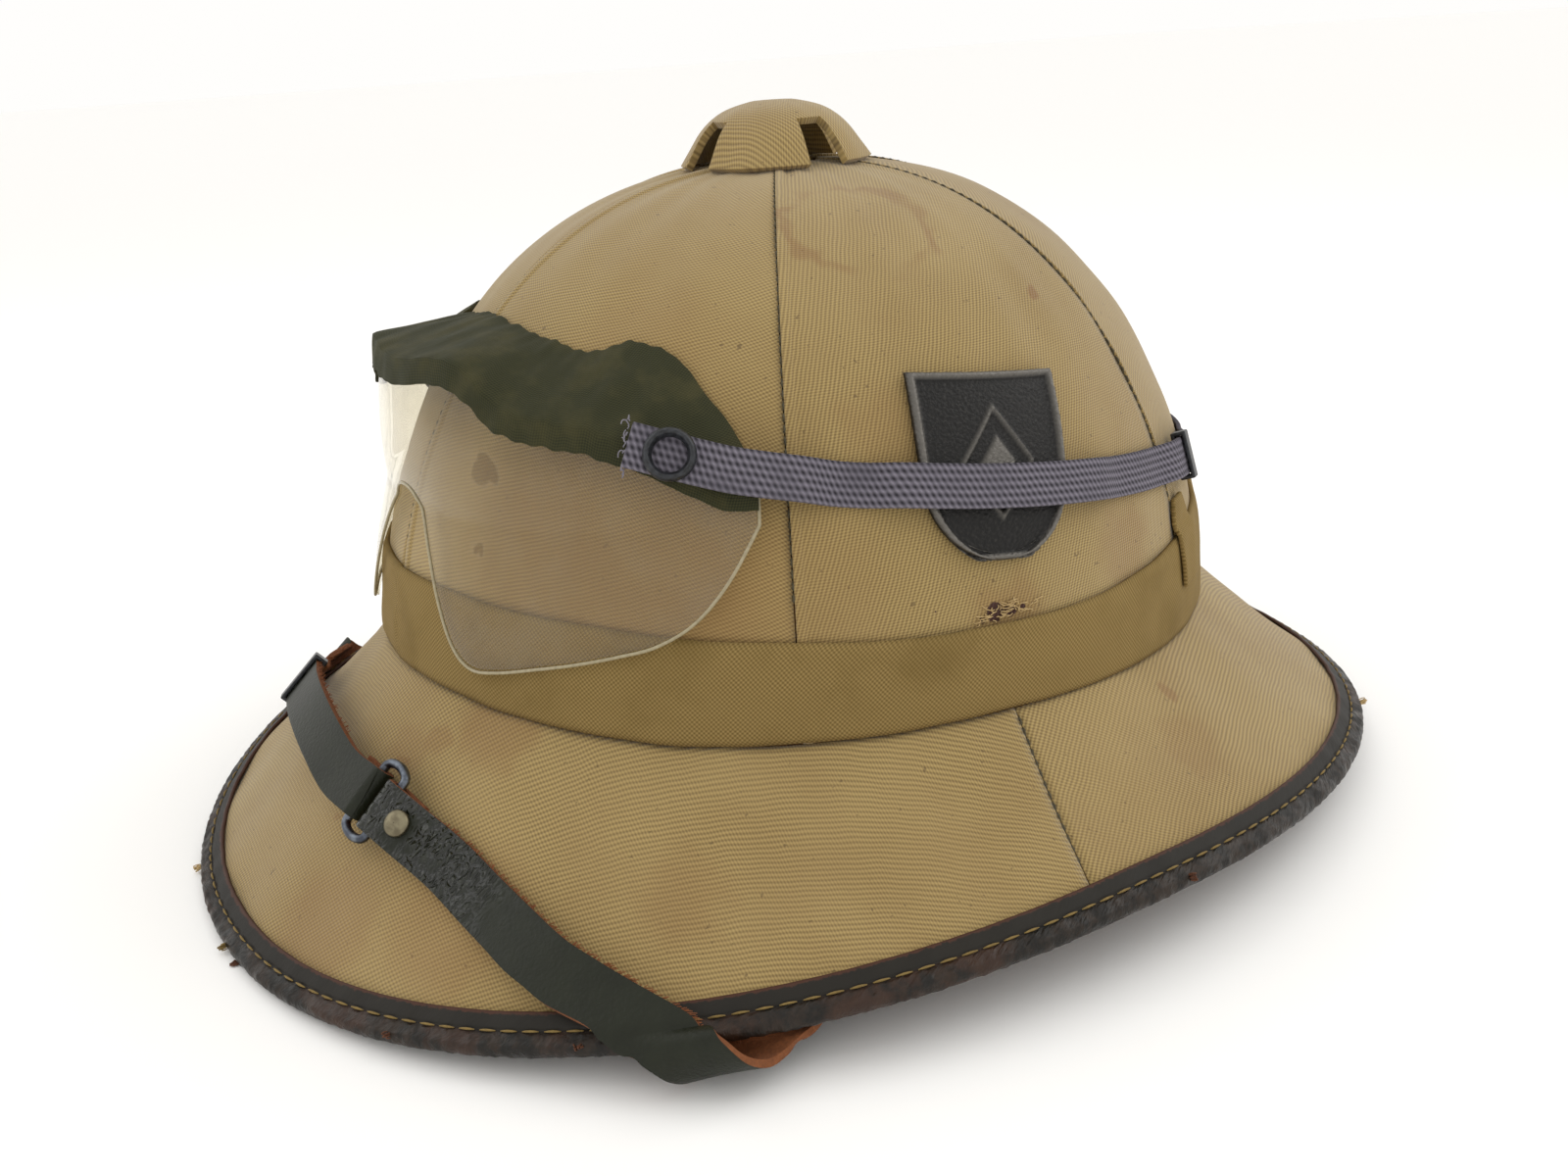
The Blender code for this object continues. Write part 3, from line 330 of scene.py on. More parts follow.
bias_cotton = woven("bias_cut_cotton", 0.9, (BAND_THREAD, BAND_THREAD), (45.0, -45.0),
                    ("#64512B", "#998150"), "#675329", 0.10, 20.0)
oiled_cotton = woven("oiled_cotton", 0.72, (BROW_THREAD, BROW_THREAD), (0.0, 90.0),
                     ("#1E2011", "#3A3A20"), "#4A4527", 0.09, 9.0)
elastic_web = woven("elastic_webbing", 0.9, (WEB_CORD, WEB_THREAD), (0.0, 58.0),
                    ("#2A282D", "#807B86"), "#4E4B53", 0.45, 12.0)
print("cloths:", bias_cotton.name, oiled_cotton.name, elastic_web.name)

# %% [markdown]
# ## Leather
#
# The chin strap is vegetable leather painted dark green: smooth where it is sound, with a shiny
# crackle where it has been bent, and bare brown suede on its edges and its back. The edging of the
# brim is a thin dark leather, worn to brown along the roll where it has been handled.

# %% Painted leather, suede and edging leather
CRACK_GRAIN = 1.5
STRAP_CRACK_START = 4.0
STRAP_CRACK_END = 42.0
FLANGE_WIDTH = 4.0

painted_leather = start_material("painted_green_leather", 0.45)
flat = flat_place()
place = body_place()
travelled = add_node("ShaderNodeSeparateXYZ", {0: flat})
cells = add_node("ShaderNodeTexVoronoi", {"Vector": scaled(wobble(flat, 2.5, 2.2), (1.0, 0.42, 1.0)),
                                          "Scale": 1.0 / CRACK_GRAIN},
                 "Distance", feature="DISTANCE_TO_EDGE")
zone = times(stepped(travelled, STRAP_CRACK_START - 6, STRAP_CRACK_START),
             stepped(travelled, STRAP_CRACK_END + 12, STRAP_CRACK_END - 12))
zone = times(zone, stepped(clouds(place, 8.0, 2.0), 0.30, 0.5))
cracks = times(stepped(cells, 0.20, 0.02), zone)
tone = mixed(clouds(place, 7.0), "#13150B", "#24271A")
feed("Base Color", mixed(times(cracks, 0.75), tone, "#0B0C08"))
feed("Roughness", ranged(zone, 0.46, 0.16))
feed("Specular IOR Level", ranged(zone, 0.24, 0.5))
pillows = times(stepped(cells, 0.0, 0.4), zone)
bumped(plus(times(clouds(place, 0.9, 2.0), 0.25), pillows), 0.75)

suede = start_material("suede_side_of_leather", 0.95)
place = body_place()
feed("Base Color", mixed(clouds(place, 1.4, 4.0, 0.8), "#4A2814", "#96592F"))
bumped(clouds(place, 0.6), 0.30)

edging_leather = start_material("edging_leather", 0.5, gloss=0.30)
place = body_place()
flat = flat_place()
inward = add_node("ShaderNodeSeparateXYZ", {0: flat}, 1)
on_roll = stepped(inward, FLANGE_WIDTH - 0.2, FLANGE_WIDTH + 0.6)
ragged = times(clouds(place, 1.3), 1.6)
cut_edge = stepped(minus(inward, ragged), 0.1, -0.4)
flange = mixed(cut_edge, mixed(clouds(place, 9.0), "#15130D", "#221D15"), "#43271A")
roll = mixed(stepped(clouds(place, 4.5, 4.0, 0.7), 0.40, 0.66), "#14110C", "#2B2118")
worn = stepped(clouds(place, 26.0, 5.0, 0.65), 0.48, 0.60)
roll = mixed(times(worn, 0.5), roll, "#432A1C")
feed("Base Color", mixed(on_roll, flange, roll))
wrinkle = clouds(wobble(scaled(flat, (1.0, 0.8, 1.0)), 4.0, 2.0), 2.2)
bumped(times(wrinkle, plus(on_roll, 0.25)), 0.60)
shine = stepped(clouds(place, 5.0, 2.0), 0.3, 0.7)
feed("Roughness", ranged(times(shine, on_roll), 0.62, 0.30))
print("leathers:", painted_leather.name, suede.name, edging_leather.name)

# %% [markdown]
# ## Metal, cork, thread and clear sheet
#
# The badge is cast zinc with a dark finish that has worn off its raised parts, so its mesh carries a
# number called relief. The ring and the rivet are plain steel and brass, dulled with age. The lens is
# a thin sheet of cellulose acetate: it mirrors more light the flatter one looks along it, and old
# residue has browned it in places. Its bright edge is a painted highlight: an opaque pale bead.

# %% Metals
cast_zinc = start_material("dark_cast_zinc", 0.42, metallic=0.75)
pebble = clouds(body_place(), 0.75, 2.0)
relief = add_node("ShaderNodeAttribute", {}, "Fac", attribute_name="relief")
feed("Base Color", mixed(times(pebble, 0.35), mixed(relief, "#242322", "#74706A"), "#1B1C1D"))
bumped(pebble, 0.30)


def dull_metal(name, tones, roughness, grain, depth, metallic=1.0):
    """A metal with soft spots of tarnish."""
    material = start_material(name, roughness, metallic)
    noise = clouds(body_place(), grain, 4.0)
    feed("Base Color", mixed(stepped(noise, 0.35, 0.65), *tones))
    bumped(noise, depth)
    return material


grey_steel = dull_metal("dulled_steel_wire", ("#484C54", "#6E747D"), 0.38, 2.5, 0.05)
old_brass = dull_metal("old_brass", ("#6A6250", "#8C846C"), 0.42, 3.0, 0.02)
black_lacquer = dull_metal("black_lacquered_steel", ("#1B1C1E", "#303236"), 0.42, 1.0, 0.05, 0.3)
print("metals:", cast_zinc.name, grey_steel.name, old_brass.name, black_lacquer.name)

# %% Cork and threads
CORK_GRAIN = 2.6

pressed_cork = start_material("pressed_cork", 0.95)
place = body_place()
grains = {"Vector": place, "Scale": 1.0 / CORK_GRAIN}
shade = add_node("ShaderNodeSeparateXYZ", {0: add_node("ShaderNodeTexVoronoi", grains, "Color")})
feed("Base Color", mixed(clouds(place, 25.0), mixed(shade, "#5E3A1F", "#A87645"), "#7A5230"))
bumped(add_node("ShaderNodeTexVoronoi", grains, "Distance"), 0.5)


def plain_thread(name, dark, light, roughness=0.8):
    material = start_material(name, roughness)
    feed("Base Color", mixed(clouds(body_place(), 1.0), dark, light))
    return material


dark_thread = plain_thread("dark_olive_thread", "#26231A", "#5A5138")
yellow_thread = plain_thread("waxed_yellow_thread", "#5C4A24", "#937A42")
pale_thread = plain_thread("frayed_cotton", "#8E7040", "#D6BC88")
brown_fibre = plain_thread("leather_fibre", "#3A2012", "#6E4024")
suede_fibre = plain_thread("suede_fibre", "#5A3018", "#9A5C30")
web_fibre = plain_thread("webbing_yarn", "#55515A", "#96919B")
print("cork:", pressed_cork.name)

# %% Clear sheet with its residue
# place in millimetres on the helmet, radius, strength
RESIDUE = (
    ((36.5, -104.3, 97.5), 5.5, 0.50),
    ((35.5, -105.5, 91.5), 5.0, 0.50),
    ((47.2, -98.4, 97.7), 3.2, 0.50),
    ((48.5, -98.0, 93.5), 2.6, 0.45),
    ((36.2, -97.9, 109.0), 5.0, 0.35),
)

ACETATE_IOR = 1.48

acetate = start_material("cellulose_acetate", 0.22)
shader.inputs["IOR"].default_value = ACETATE_IOR
place = body_place()
smear = 0.0
moved = wobble(place, 4.0, 6.0)
for point, radius, strength in RESIDUE:
    patch = stepped(distance_to(moved, point), radius, radius * 0.55)
    smear = maths("MAXIMUM", times(patch, strength), smear)
haze = times(stepped(clouds(place, 11.0, 4.0), 0.35, 0.85), 0.09)
haze = times(haze, stepped(smear, 0.3, 0.0))
feed("Base Color", mixed(stepped(smear, 0.05, 0.3), "#B5AB92", "#4E3416"))
smear = maths("MAXIMUM", smear, plus(haze, 0.01))
clear = add_node("ShaderNodeBsdfTransparent", {"Color": "#F3EFE2"})
shiny = add_node("ShaderNodeBsdfGlossy", {"Color": "#FFFFFF", "Roughness": 0.05})
# the share of light that a thin sheet reflects, alike from both sides
facing = add_node("ShaderNodeLayerWeight", {"Blend": 0.5}, "Facing")
mirrored = plus(times(maths("POWER", facing, 4.0), 0.8), 0.04)
sheet = add_node("ShaderNodeMixShader", {0: mirrored, 1: clear, 2: shiny})
sheet = add_node("ShaderNodeMixShader", {0: smear, 1: sheet, 2: shader.outputs[0]})
tree.links.new(sheet, tree.nodes["Material Output"].inputs["Surface"])

acetate_back = start_material("back_of_acetate", 0.1)
shader.inputs["Base Color"].default_value = linear("#E8E0C8")
shader.inputs["Alpha"].default_value = 0.03
# painted highlight: the sheet's bright edge is an opaque pale colour, not clear acetate
painted_edge_highlight = plain_thread("acetate_edge_painted_highlight", "#7D7152", "#B4A98A", 0.12)
print("clear sheet:", acetate.name)

# %% [markdown]
# ## The helmet's surfaces
#
# Every piece lies on one of three surfaces: the crown, the brim or the roll of its rim. Each is a
# function from an angle round the helmet and a height or a share to a point and the direction out of
# it. The angle is 0 at the front, 90 on the wearer's left and 180 at the rear. The numbers are the
# measured model's own, so a piece that uses them lands where the model says.

# %% Crown, brim and rim
GAP = 0.0003
CROWN_HALF_WIDTH, CROWN_HALF_LENGTH = 0.1063, 0.1175
CROWN_BASE, CROWN_RISE, CROWN_SETBACK = 0.0486, 0.1160, 0.0043
CROWN_PLAN_POWER, CROWN_SIDE_POWER, CROWN_TOP_POWER = 1.91, 1.81, 2.52
JOINT_PITCH, JOINT_SADDLE, JOINT_WAVE = 0.0045, 0.0014, 0.0016
RIM_HALF_WIDTH, RIM_HALF_LENGTH, RIM_PLAN_POWER = 0.1460, 0.1694, 2.08
RIM_SIDE_RISE, RIM_RISE_POWER, RIM_REST_SHARE = 0.0157, 1.57, 0.985
BRIM_SAG = 0.0014
CANVAS, CORK = 0.0009, 0.0032
BAND_WALL, BAND_HEIGHT, BAND_SADDLE, BAND_PITCH = 0.0012, 0.0247, 0.0042, 0.0020
FOOT_HALF_ANGLE = 15.0
AIR_HOLE_RADIUS = 0.0120
CORE = CANVAS + GAP + CORK
# the cork thins towards the rim, so the roll round it is slimmer than the model's plain one
EDGE_CORE, EDGE_LEATHER = 0.0016, 0.0009
ROLL_RADIUS = EDGE_CORE / 2 + GAP + EDGE_LEATHER
BAND_OUTSIDE = GAP + BAND_WALL
# these two turn angles round the crown into lengths along its cloth
ONE_RADIAN, CROWN_MEAN_RADIUS = 57.3, 0.11
TINY = 1e-6


def unit(vectors):
    return vectors / np.linalg.norm(vectors, axis=-1, keepdims=True)


def plan_point(angle, half_width, half_length, power):
    sine, cosine = np.sin(np.radians(angle)), np.cos(np.radians(angle))
    reach = (np.abs(sine) ** power + np.abs(cosine) ** power) ** (-1 / power)
    return half_width * reach * sine, -half_length * reach * cosine


def crown_point(angle, height, offset=0.0):
    """A point at a distance outside the canvas of the crown, and the direction out of it there."""
    angle, height = np.broadcast_arrays(np.asarray(angle, float), np.asarray(height, float))
    climb = np.clip((height - CROWN_BASE) / CROWN_RISE, 0.0, 1.0)
    narrow = (1 - climb ** CROWN_SIDE_POWER) ** (1 / CROWN_TOP_POWER)
    x, y = plan_point(angle, CROWN_HALF_WIDTH * narrow, CROWN_HALF_LENGTH * narrow, CROWN_PLAN_POWER)
    side, front = np.abs(x / CROWN_HALF_WIDTH), np.abs(y / CROWN_HALF_LENGTH)
    steep = CROWN_TOP_POWER * np.maximum(narrow, TINY) ** (CROWN_TOP_POWER - CROWN_PLAN_POWER)
    out_x = steep * side ** (CROWN_PLAN_POWER - 1) * np.sign(x) / CROWN_HALF_WIDTH
    out_y = steep * front ** (CROWN_PLAN_POWER - 1) * np.sign(y) / CROWN_HALF_LENGTH
    out_z = CROWN_SIDE_POWER * climb ** (CROWN_SIDE_POWER - 1) / CROWN_RISE
    normal = unit(np.stack([out_x, out_y, out_z], axis=-1))
    point = np.stack([x, y + CROWN_SETBACK, height], axis=-1)
    return point + normal * np.asarray(offset)[..., None], normal


def joint_height(angle):
    """Height of the line where the brim leaves the crown."""
    turn = np.radians(angle)
    wave = JOINT_PITCH * np.cos(turn) + JOINT_SADDLE * np.cos(2 * turn) + JOINT_WAVE * np.cos(4 * turn)
    return CROWN_BASE + wave


def band_top(angle):
    turn = np.radians(angle)
    return CROWN_BASE + BAND_HEIGHT + BAND_SADDLE * np.cos(2 * turn) + BAND_PITCH * np.cos(turn)


def roll_centre(angle):
    """The centre line of the rolled rim, whose front and rear ends are level, to stand on."""
    x, y = plan_point(angle, RIM_HALF_WIDTH - ROLL_RADIUS, RIM_HALF_LENGTH - ROLL_RADIUS, RIM_PLAN_POWER)
    reach = np.minimum(np.abs(y) / (RIM_HALF_LENGTH - ROLL_RADIUS) / RIM_REST_SHARE, 1.0)
    foot = ROLL_RADIUS * math.cos(math.radians(FOOT_HALF_ANGLE))
    return np.stack([x, y, foot + RIM_SIDE_RISE * (1 - reach ** RIM_RISE_POWER)], axis=-1)


def brim_ends(angle):
    """The ends of the brim's upper canvas face, at the crown and at the rim."""
    inner = crown_point(angle, joint_height(angle))[0]
    run = roll_centre(angle) - inner
    reach = np.linalg.norm(run[..., :2], axis=-1, keepdims=True)
    outward = np.concatenate([run[..., :2] / reach, np.zeros_like(reach)], axis=-1)
    rise = unit(-run[..., 2:] * outward + reach * np.array((0.0, 0.0, 1.0)))
    return inner, roll_centre(angle) + rise * EDGE_CORE / 2


def brim_flat(angle, share):
    inner, outer = brim_ends(angle)
    return inner + (outer - inner) * np.asarray(share, float)[..., None]


def brim_point(angle, share, offset=0.0):
    """A point at a distance above the brim's canvas, and the direction out of it there."""
    angle, share = np.broadcast_arrays(np.asarray(angle, float), np.asarray(share, float))
    along = brim_flat(angle + 0.5, share) - brim_flat(angle - 0.5, share)
    inner, outer = brim_ends(angle)
    normal = unit(np.cross(along, inner - outer))
    sag = BRIM_SAG * 4 * share * (1 - share)
    return brim_flat(angle, share) + normal * (np.asarray(offset) - sag)[..., None], normal


def brim_depth(share):
    """Distance from the canvas to the underside of the cork."""
    return CORE + (EDGE_CORE - CORE) * share


def brim_length(angle):
    inner, outer = brim_ends(angle)
    return np.linalg.norm(outer - inner, axis=-1)


def rim_point(angle, turn, radius):
    """A point round the roll: turn is 90 degrees on top, 0 outward and -90 below."""
    along = roll_centre(angle + 0.5) - roll_centre(angle - 0.5)
    outward = unit(np.cross(along, brim_point(angle, 1.0)[1]))
    normal = unit(np.cross(outward, along))
    turn = np.radians(turn)
    direction = np.cos(turn) * outward + np.sin(turn) * normal
    return roll_centre(angle) + direction * np.asarray(radius)[..., None], direction


print("crown top in millimetres:", round((CROWN_BASE + CROWN_RISE) * MILLIMETRES, 1))

# %% [markdown]
# ## Sheets, straps, wires and stitches
#
# Nearly everything here is a sheet: a grid of points that Solidify gives its wall. The grid function
# keeps the flat cloth coordinates, and a second material can go on the back and the cut edges. Wires
# are curves with a bevel. Stitches are small beads of thread made together as one mesh.

# %% Mesh helpers
GRAIN_SPREAD = (0.7, 1.6)
CURVE_STEPS = 12
STITCH_SIDES, STITCH_RINGS, STITCH_ARCH, STITCH_DIP, STITCH_END = 6, 5, 0.9, 0.35, 0.45
THREAD_POINTS, THREAD_BEND, THREAD_RISE, THREAD_LEAST_LIFT = 6, 1.4, 0.25, 0.3


def finish_piece(thing, material, replaced=()):
    if material and not thing.data.materials:
        thing.data.materials.append(material)
    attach(thing, "root")
    if replaced:
        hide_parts(*replaced)
    return thing


def link_object(name, data):
    thing = bpy.data.objects.new(name, data)
    bpy.context.scene.collection.objects.link(thing)
    return thing


def uneven(across, along, size, seed, waves=9):
    """Smooth random unevenness between about -1 and 1. size is its grain in metres."""
    draw = np.random.default_rng(seed)
    total = 0.0
    for _ in range(waves):
        turn, phase = draw.uniform(0, math.tau, 2)
        step = math.tau / (size * draw.uniform(*GRAIN_SPREAD))
        total = total + np.sin((across * math.cos(turn) + along * math.sin(turn)) * step + phase)
    return total / math.sqrt(waves * 2)


def flat_grid(points, closed=False, turn=0.0):
    """How far each point of a grid lies along and across its cloth, in metres."""
    if closed:
        points = np.concatenate([points, points[:, :1]], axis=1)
    across = np.linalg.norm(np.diff(points, axis=1), axis=2)
    across = np.concatenate([np.zeros((len(points), 1)), np.cumsum(across, axis=1)], axis=1)
    if not closed:
        across = across - across[:, across.shape[1] // 2][:, None]
    along = np.linalg.norm(np.diff(points, axis=0), axis=2)
    along = np.concatenate([np.zeros((1, points.shape[1])), np.cumsum(along, axis=0)])
    turn = math.radians(turn)
    return np.stack([across * math.cos(turn) - along * math.sin(turn),
                     across * math.sin(turn) + along * math.cos(turn)], axis=2)


def grid_object(name, points, flat=None, closed=False, keep=None):
    """A mesh of four-sided faces through rows of points, with its flat cloth map."""
    points = np.array(points)
    if flat is None:
        flat = flat_grid(points, closed)
    row_count, column_count = points.shape[:2]
    order = np.arange(row_count * column_count).reshape(row_count, column_count)
    if closed:
        order = np.concatenate([order, order[:, :1]], axis=1)
    faces, places = (np.stack([grid[:-1, :-1], grid[:-1, 1:], grid[1:, 1:], grid[1:, :-1]], axis=2)
                     for grid in (order, flat))
    faces, places = faces.reshape(-1, 4), places.reshape(-1, 4, 2)
    if keep is not None:
        faces, places = faces[keep.ravel()], places[keep.ravel()]
    mesh = bpy.data.meshes.new(name)
    mesh.from_pydata(points.reshape(-1, 3).tolist(), [], faces.tolist())
    mesh.uv_layers.new(name="flat").data.foreach_set("uv", places.astype(np.float32).ravel())
    if keep is not None:
        loose = bmesh.new()
        loose.from_mesh(mesh)
        lonely = [vertex for vertex in loose.verts if not vertex.link_faces]
        bmesh.ops.delete(loose, geom=lonely, context="VERTS")
        loose.to_mesh(mesh)
        loose.free()
    mesh.shade_smooth()
    return link_object(name, mesh)


def add_wall(thing, wall, side=-1.0, inner=0, edge=0):
    """The sheet's wall, inward with side -1. inner and edge choose later materials for those faces."""
    solid = thing.modifiers.new("wall", "SOLIDIFY")
    solid.thickness = wall
    solid.offset = side
    solid.use_even_offset = True
    solid.use_quality_normals = True
    solid.material_offset = inner
    solid.material_offset_rim = edge
    return solid


def round_edges(thing, width, segments=2, limit=50.0):
    bevel = thing.modifiers.new("edges", "BEVEL")
    bevel.width = width
    bevel.segments = segments
    bevel.limit_method = "ANGLE"
    bevel.angle_limit = math.radians(limit)


def looked_up(spots, stations, table):
    """The rows of a table at spots between its stations."""
    return np.stack([np.interp(spots, stations, column) for column in table.T], axis=-1)


def distances(path):
    """How far along a path each of its points lies."""
    return np.concatenate([[0.0], np.cumsum(np.linalg.norm(np.diff(path, axis=0), axis=1))])


def curve_point(before, start, end, after, t):
    """A point of the smooth curve from start to end, at a share t of the way."""
    return 0.5 * (2 * start + (end - before) * t + (2 * before - 5 * start + 4 * end - after) * t ** 2
                  + (3 * start - before - 3 * end + after) * t ** 3)


def between(points, count):
    """A smooth curve through points, as count points at even steps along it."""
    points = np.asarray(points, float)
    padded = np.concatenate([[2 * points[0] - points[1]], points, [2 * points[-1] - points[-2]]])
    fine = [curve_point(*four, t) for four in zip(padded, padded[1:], padded[2:], padded[3:])
            for t in np.linspace(0.0, 1.0, CURVE_STEPS, endpoint=False)]
    fine = np.array(fine + [points[-1]])
    travelled = distances(fine[:, :3])
    return looked_up(np.linspace(0.0, travelled[-1], count), travelled, fine)


def stitch_row(name, path, normals, length, gap, radius, material):
    """Stitches of one thread along a path: short beads that dip into the cloth at both ends."""
    travelled = distances(path)
    starts = np.arange(gap, travelled[-1] - length, length + gap)
    sides, rings = STITCH_SIDES, STITCH_RINGS
    vertices, faces = [], []
    for start in starts:
        places = start + np.linspace(0.0, length, rings)
        centre, out = looked_up(places, travelled, path), unit(looked_up(places, travelled, normals))
        arch = np.sin(np.linspace(0.0, math.pi, rings))
        centre = centre + out * ((arch * STITCH_ARCH - STITCH_DIP) * radius)[:, None]
        side = unit(np.cross(out, centre[-1] - centre[0]))
        base = len(vertices)
        for ring in range(rings):
            thick = radius * (STITCH_END + (1 - STITCH_END) * arch[ring])
            for number in range(sides):
                turn = math.tau * number / sides
                vertices.append(centre[ring] + (side[ring] * math.cos(turn) + out[ring] * math.sin(turn))
                                * thick)
        for ring in range(rings - 1):
            for number in range(sides):
                first, second = base + ring * sides + number, base + ring * sides + (number + 1) % sides
                faces.append((first, second, second + sides, first + sides))
        faces.append(tuple(base + number for number in range(sides - 1, -1, -1)))
        faces.append(tuple(base + (rings - 1) * sides + number for number in range(sides)))
    mesh = bpy.data.meshes.new(name)
    mesh.from_pydata([tuple(vertex) for vertex in vertices], [], faces)
    mesh.shade_smooth()
    return finish_piece(link_object(name, mesh), material)


def wire(name, paths, radius, material, replaced=(), cyclic=False):
    """One curve object with a round section along each path."""
    data = bpy.data.curves.new(name, "CURVE")
    data.dimensions = "3D"
    data.bevel_depth = radius
    data.bevel_resolution = 3
    data.use_fill_caps = True
    for path in paths:
        spline = data.splines.new("POLY")
        spline.points.add(len(path) - 1)
        for point, spot in zip(path, spline.points):
            spot.co = (*point, 1.0)
        spline.use_cyclic_u = cyclic
    return finish_piece(link_object(name, data), material, replaced)


def loose_threads(name, place, count, spread, length, radius, material, seed):
    """Short bent threads about a spot. place turns distances along, across and above it into a point."""
    draw = np.random.default_rng(seed)
    paths = []
    for _ in range(count):
        start = draw.uniform(-1.0, 1.0, 2) * spread
        turn, bend = draw.uniform(0.0, math.tau), draw.uniform(-THREAD_BEND, THREAD_BEND)
        reach, lift = length * draw.uniform(0.5, 1.0), draw.uniform(THREAD_LEAST_LIFT, 1.0)
        path = []
        for share in np.linspace(0.0, 1.0, THREAD_POINTS):
            heading = turn + bend * share
            spot = start + reach * share * np.array((math.cos(heading), math.sin(heading)))
            path.append(place(*spot, radius + length * THREAD_RISE * lift * math.sin(math.pi * share)))
        paths.append(path)
    return wire(name, paths, radius, material)


print("mesh helpers ready")

# %% [markdown]
# ## Cork body and canvas gores
#
# The body is one smooth shell of pressed cork, open below. Six canvas gores cover the crown. Each laps
# over the next in a strip two millimetres wide, and the cloth of each was cut at its own slant, so the
# ribs of neighbouring gores run different ways.

# %% Cork body
FINE_COLUMNS = 144
GORE_COUNT = 6
BRIM_SEAM = 85.0


def crown_heights(angles, count):
    """Heights of rows from the joint to the air hole, closer together near the top."""
    smallest = AIR_HOLE_RADIUS / (CROWN_HALF_WIDTH + CROWN_HALF_LENGTH) * 2
    last = math.acos(smallest ** (CROWN_TOP_POWER / 2))
    climbs = np.sin(np.linspace(0.0, last, count)) ** (2 / CROWN_SIDE_POWER)
    joint = (joint_height(angles) - CROWN_BASE) / CROWN_RISE
    return [CROWN_BASE + CROWN_RISE * (climb + joint * (1 - climb)) for climb in climbs]


angles = np.arange(FINE_COLUMNS) * 360.0 / FINE_COLUMNS
under = CANVAS + GAP
shares = np.linspace(1.0, 0.03, 16)
heights = crown_heights(angles, 34)
rows = [brim_point(angles, share, -under)[0] for share in shares]
rows += [crown_point(angles, height, -under)[0] for height in heights]
rows += [crown_point(angles, height, -CORE)[0] for height in heights[::-1]]
rows += [brim_point(angles, share, -brim_depth(share))[0] for share in shares[::-1]]
body = grid_object("cork_body", rows + rows[:1], closed=True)
finish_piece(body, pressed_cork, ["cork_shell"])
print("cork body rows:", len(rows) + 1)

# %% Canvas gores with their lapped seams
LAP_WIDTH = 0.0019
LAP_RAISE = 0.00045
LAP_SLOPE = 0.0007
# distances of a gore's first columns of points from its seam
LAP_STEPS = (0.00015, 0.0006, 0.0012, 0.0018, 0.0022, 0.0026, 0.0032)
# degrees of the crown and the metres of cloth over them
GORE_ARC, GORE_SPAN = 110.0, 0.2
GORE_SLANTS = (-20.0, -65.0, -30.0, -15.0, -60.0, -25.0)
GORE_COLUMNS = 46
GORE_ROWS = 60
SEAM_THREAD = 0.00028
SEAM_STITCH = 0.0021
SEAM_STITCH_GAP = 0.0005
CANVAS_UNEVEN = 0.00022


def crown_arc(angle, height):
    """Degrees round the crown that make one metre of canvas at a height."""
    reach = np.linalg.norm(crown_point(angle, height)[0][..., :2] - (0.0, CROWN_SETBACK), axis=-1)
    return np.degrees(1.0 / reach)


def lap(distance):
    """Height of the lapped strip at a distance from its seam."""
    return LAP_RAISE * np.clip((LAP_WIDTH + LAP_SLOPE - distance) / LAP_SLOPE, 0.0, 1.0)


for number in range(GORE_COUNT):
    start = number * 360.0 / GORE_COUNT
    width = 360.0 / GORE_COUNT
    rows = []
    for height in crown_heights(np.array([start + width / 2]), GORE_ROWS):
        per_metre = crown_arc(start, height)[0]
        near = np.array(LAP_STEPS) * per_metre
        far = np.linspace(near[-1], width - LAP_STEPS[0] * per_metre, GORE_COLUMNS - len(near) + 1)[1:]
        away = np.concatenate([near, far])
        turns = start + away
        along = (height - CROWN_BASE) / CROWN_RISE
        joint = (joint_height(turns) - CROWN_BASE) * (1 - np.clip(along, 0.0, 1.0))
        base = height - (joint_height(np.array([start + width / 2])) - CROWN_BASE) * (1 - along)
        heights = np.minimum(base + joint, CROWN_BASE + CROWN_RISE)
        wave = CANVAS_UNEVEN * uneven(turns / GORE_ARC * GORE_SPAN, heights, 0.022, 40 + number)
        rows.append(crown_point(turns, heights, lap(away / per_metre) + wave)[0])
    rows = np.array(rows)
    gore = grid_object(f"canvas_gore_{number + 1}", rows, flat_grid(rows, turn=GORE_SLANTS[number]))
    add_wall(gore, CANVAS)
    finish_piece(gore, twill, [f"crown_panel_{number + 1}"])
    centre, normals = crown_point(start, rows[12:-3, 0, 2], 0.0001)
    stitch_row(f"gore_seam_{number + 1}", centre, normals, SEAM_STITCH, SEAM_STITCH_GAP, SEAM_THREAD,
               dark_thread)
print("gores:", GORE_COUNT)

# %% Torn threads over the worn holes
# angle and height of each tear, how far it spreads, number of threads
TEARS = ((84.3, 0.0722, 0.0040, 34), (81.8, 0.0714, 0.0020, 10), (87.4, 0.0716, 0.0022, 9))
TEAR_FLATNESS = 0.45
TORN_LENGTH, TORN_RADIUS = 0.0028, 0.00011
for number, (angle, height, spread, count) in enumerate(TEARS):
    def on_crown(across, along, lift, angle=angle, height=height):
        turn = angle + across * crown_arc(angle, height)
        return crown_point(turn, height + along * TEAR_FLATNESS, lift)[0]


    loose_threads(f"torn_threads_{number + 1}", on_crown, count, spread, TORN_LENGTH, TORN_RADIUS,
                  pale_thread, 200 + number)
print("tears:", len(TEARS))

# %% [markdown]
# ## Brim covers
#
# Two canvas covers meet ahead of each ear in one dark stitched seam. They were cut flat, so the cloth's
# ribs keep one direction in plan across the whole brim. The flat map is therefore just the plan.

# %% Brim covers
FRONT_RIBS = 59.3
REAR_RIBS = -55.0
BRIM_ROWS = 34
BRIM_UNEVEN, BRIM_MEAN_RADIUS = 0.00025, 0.14


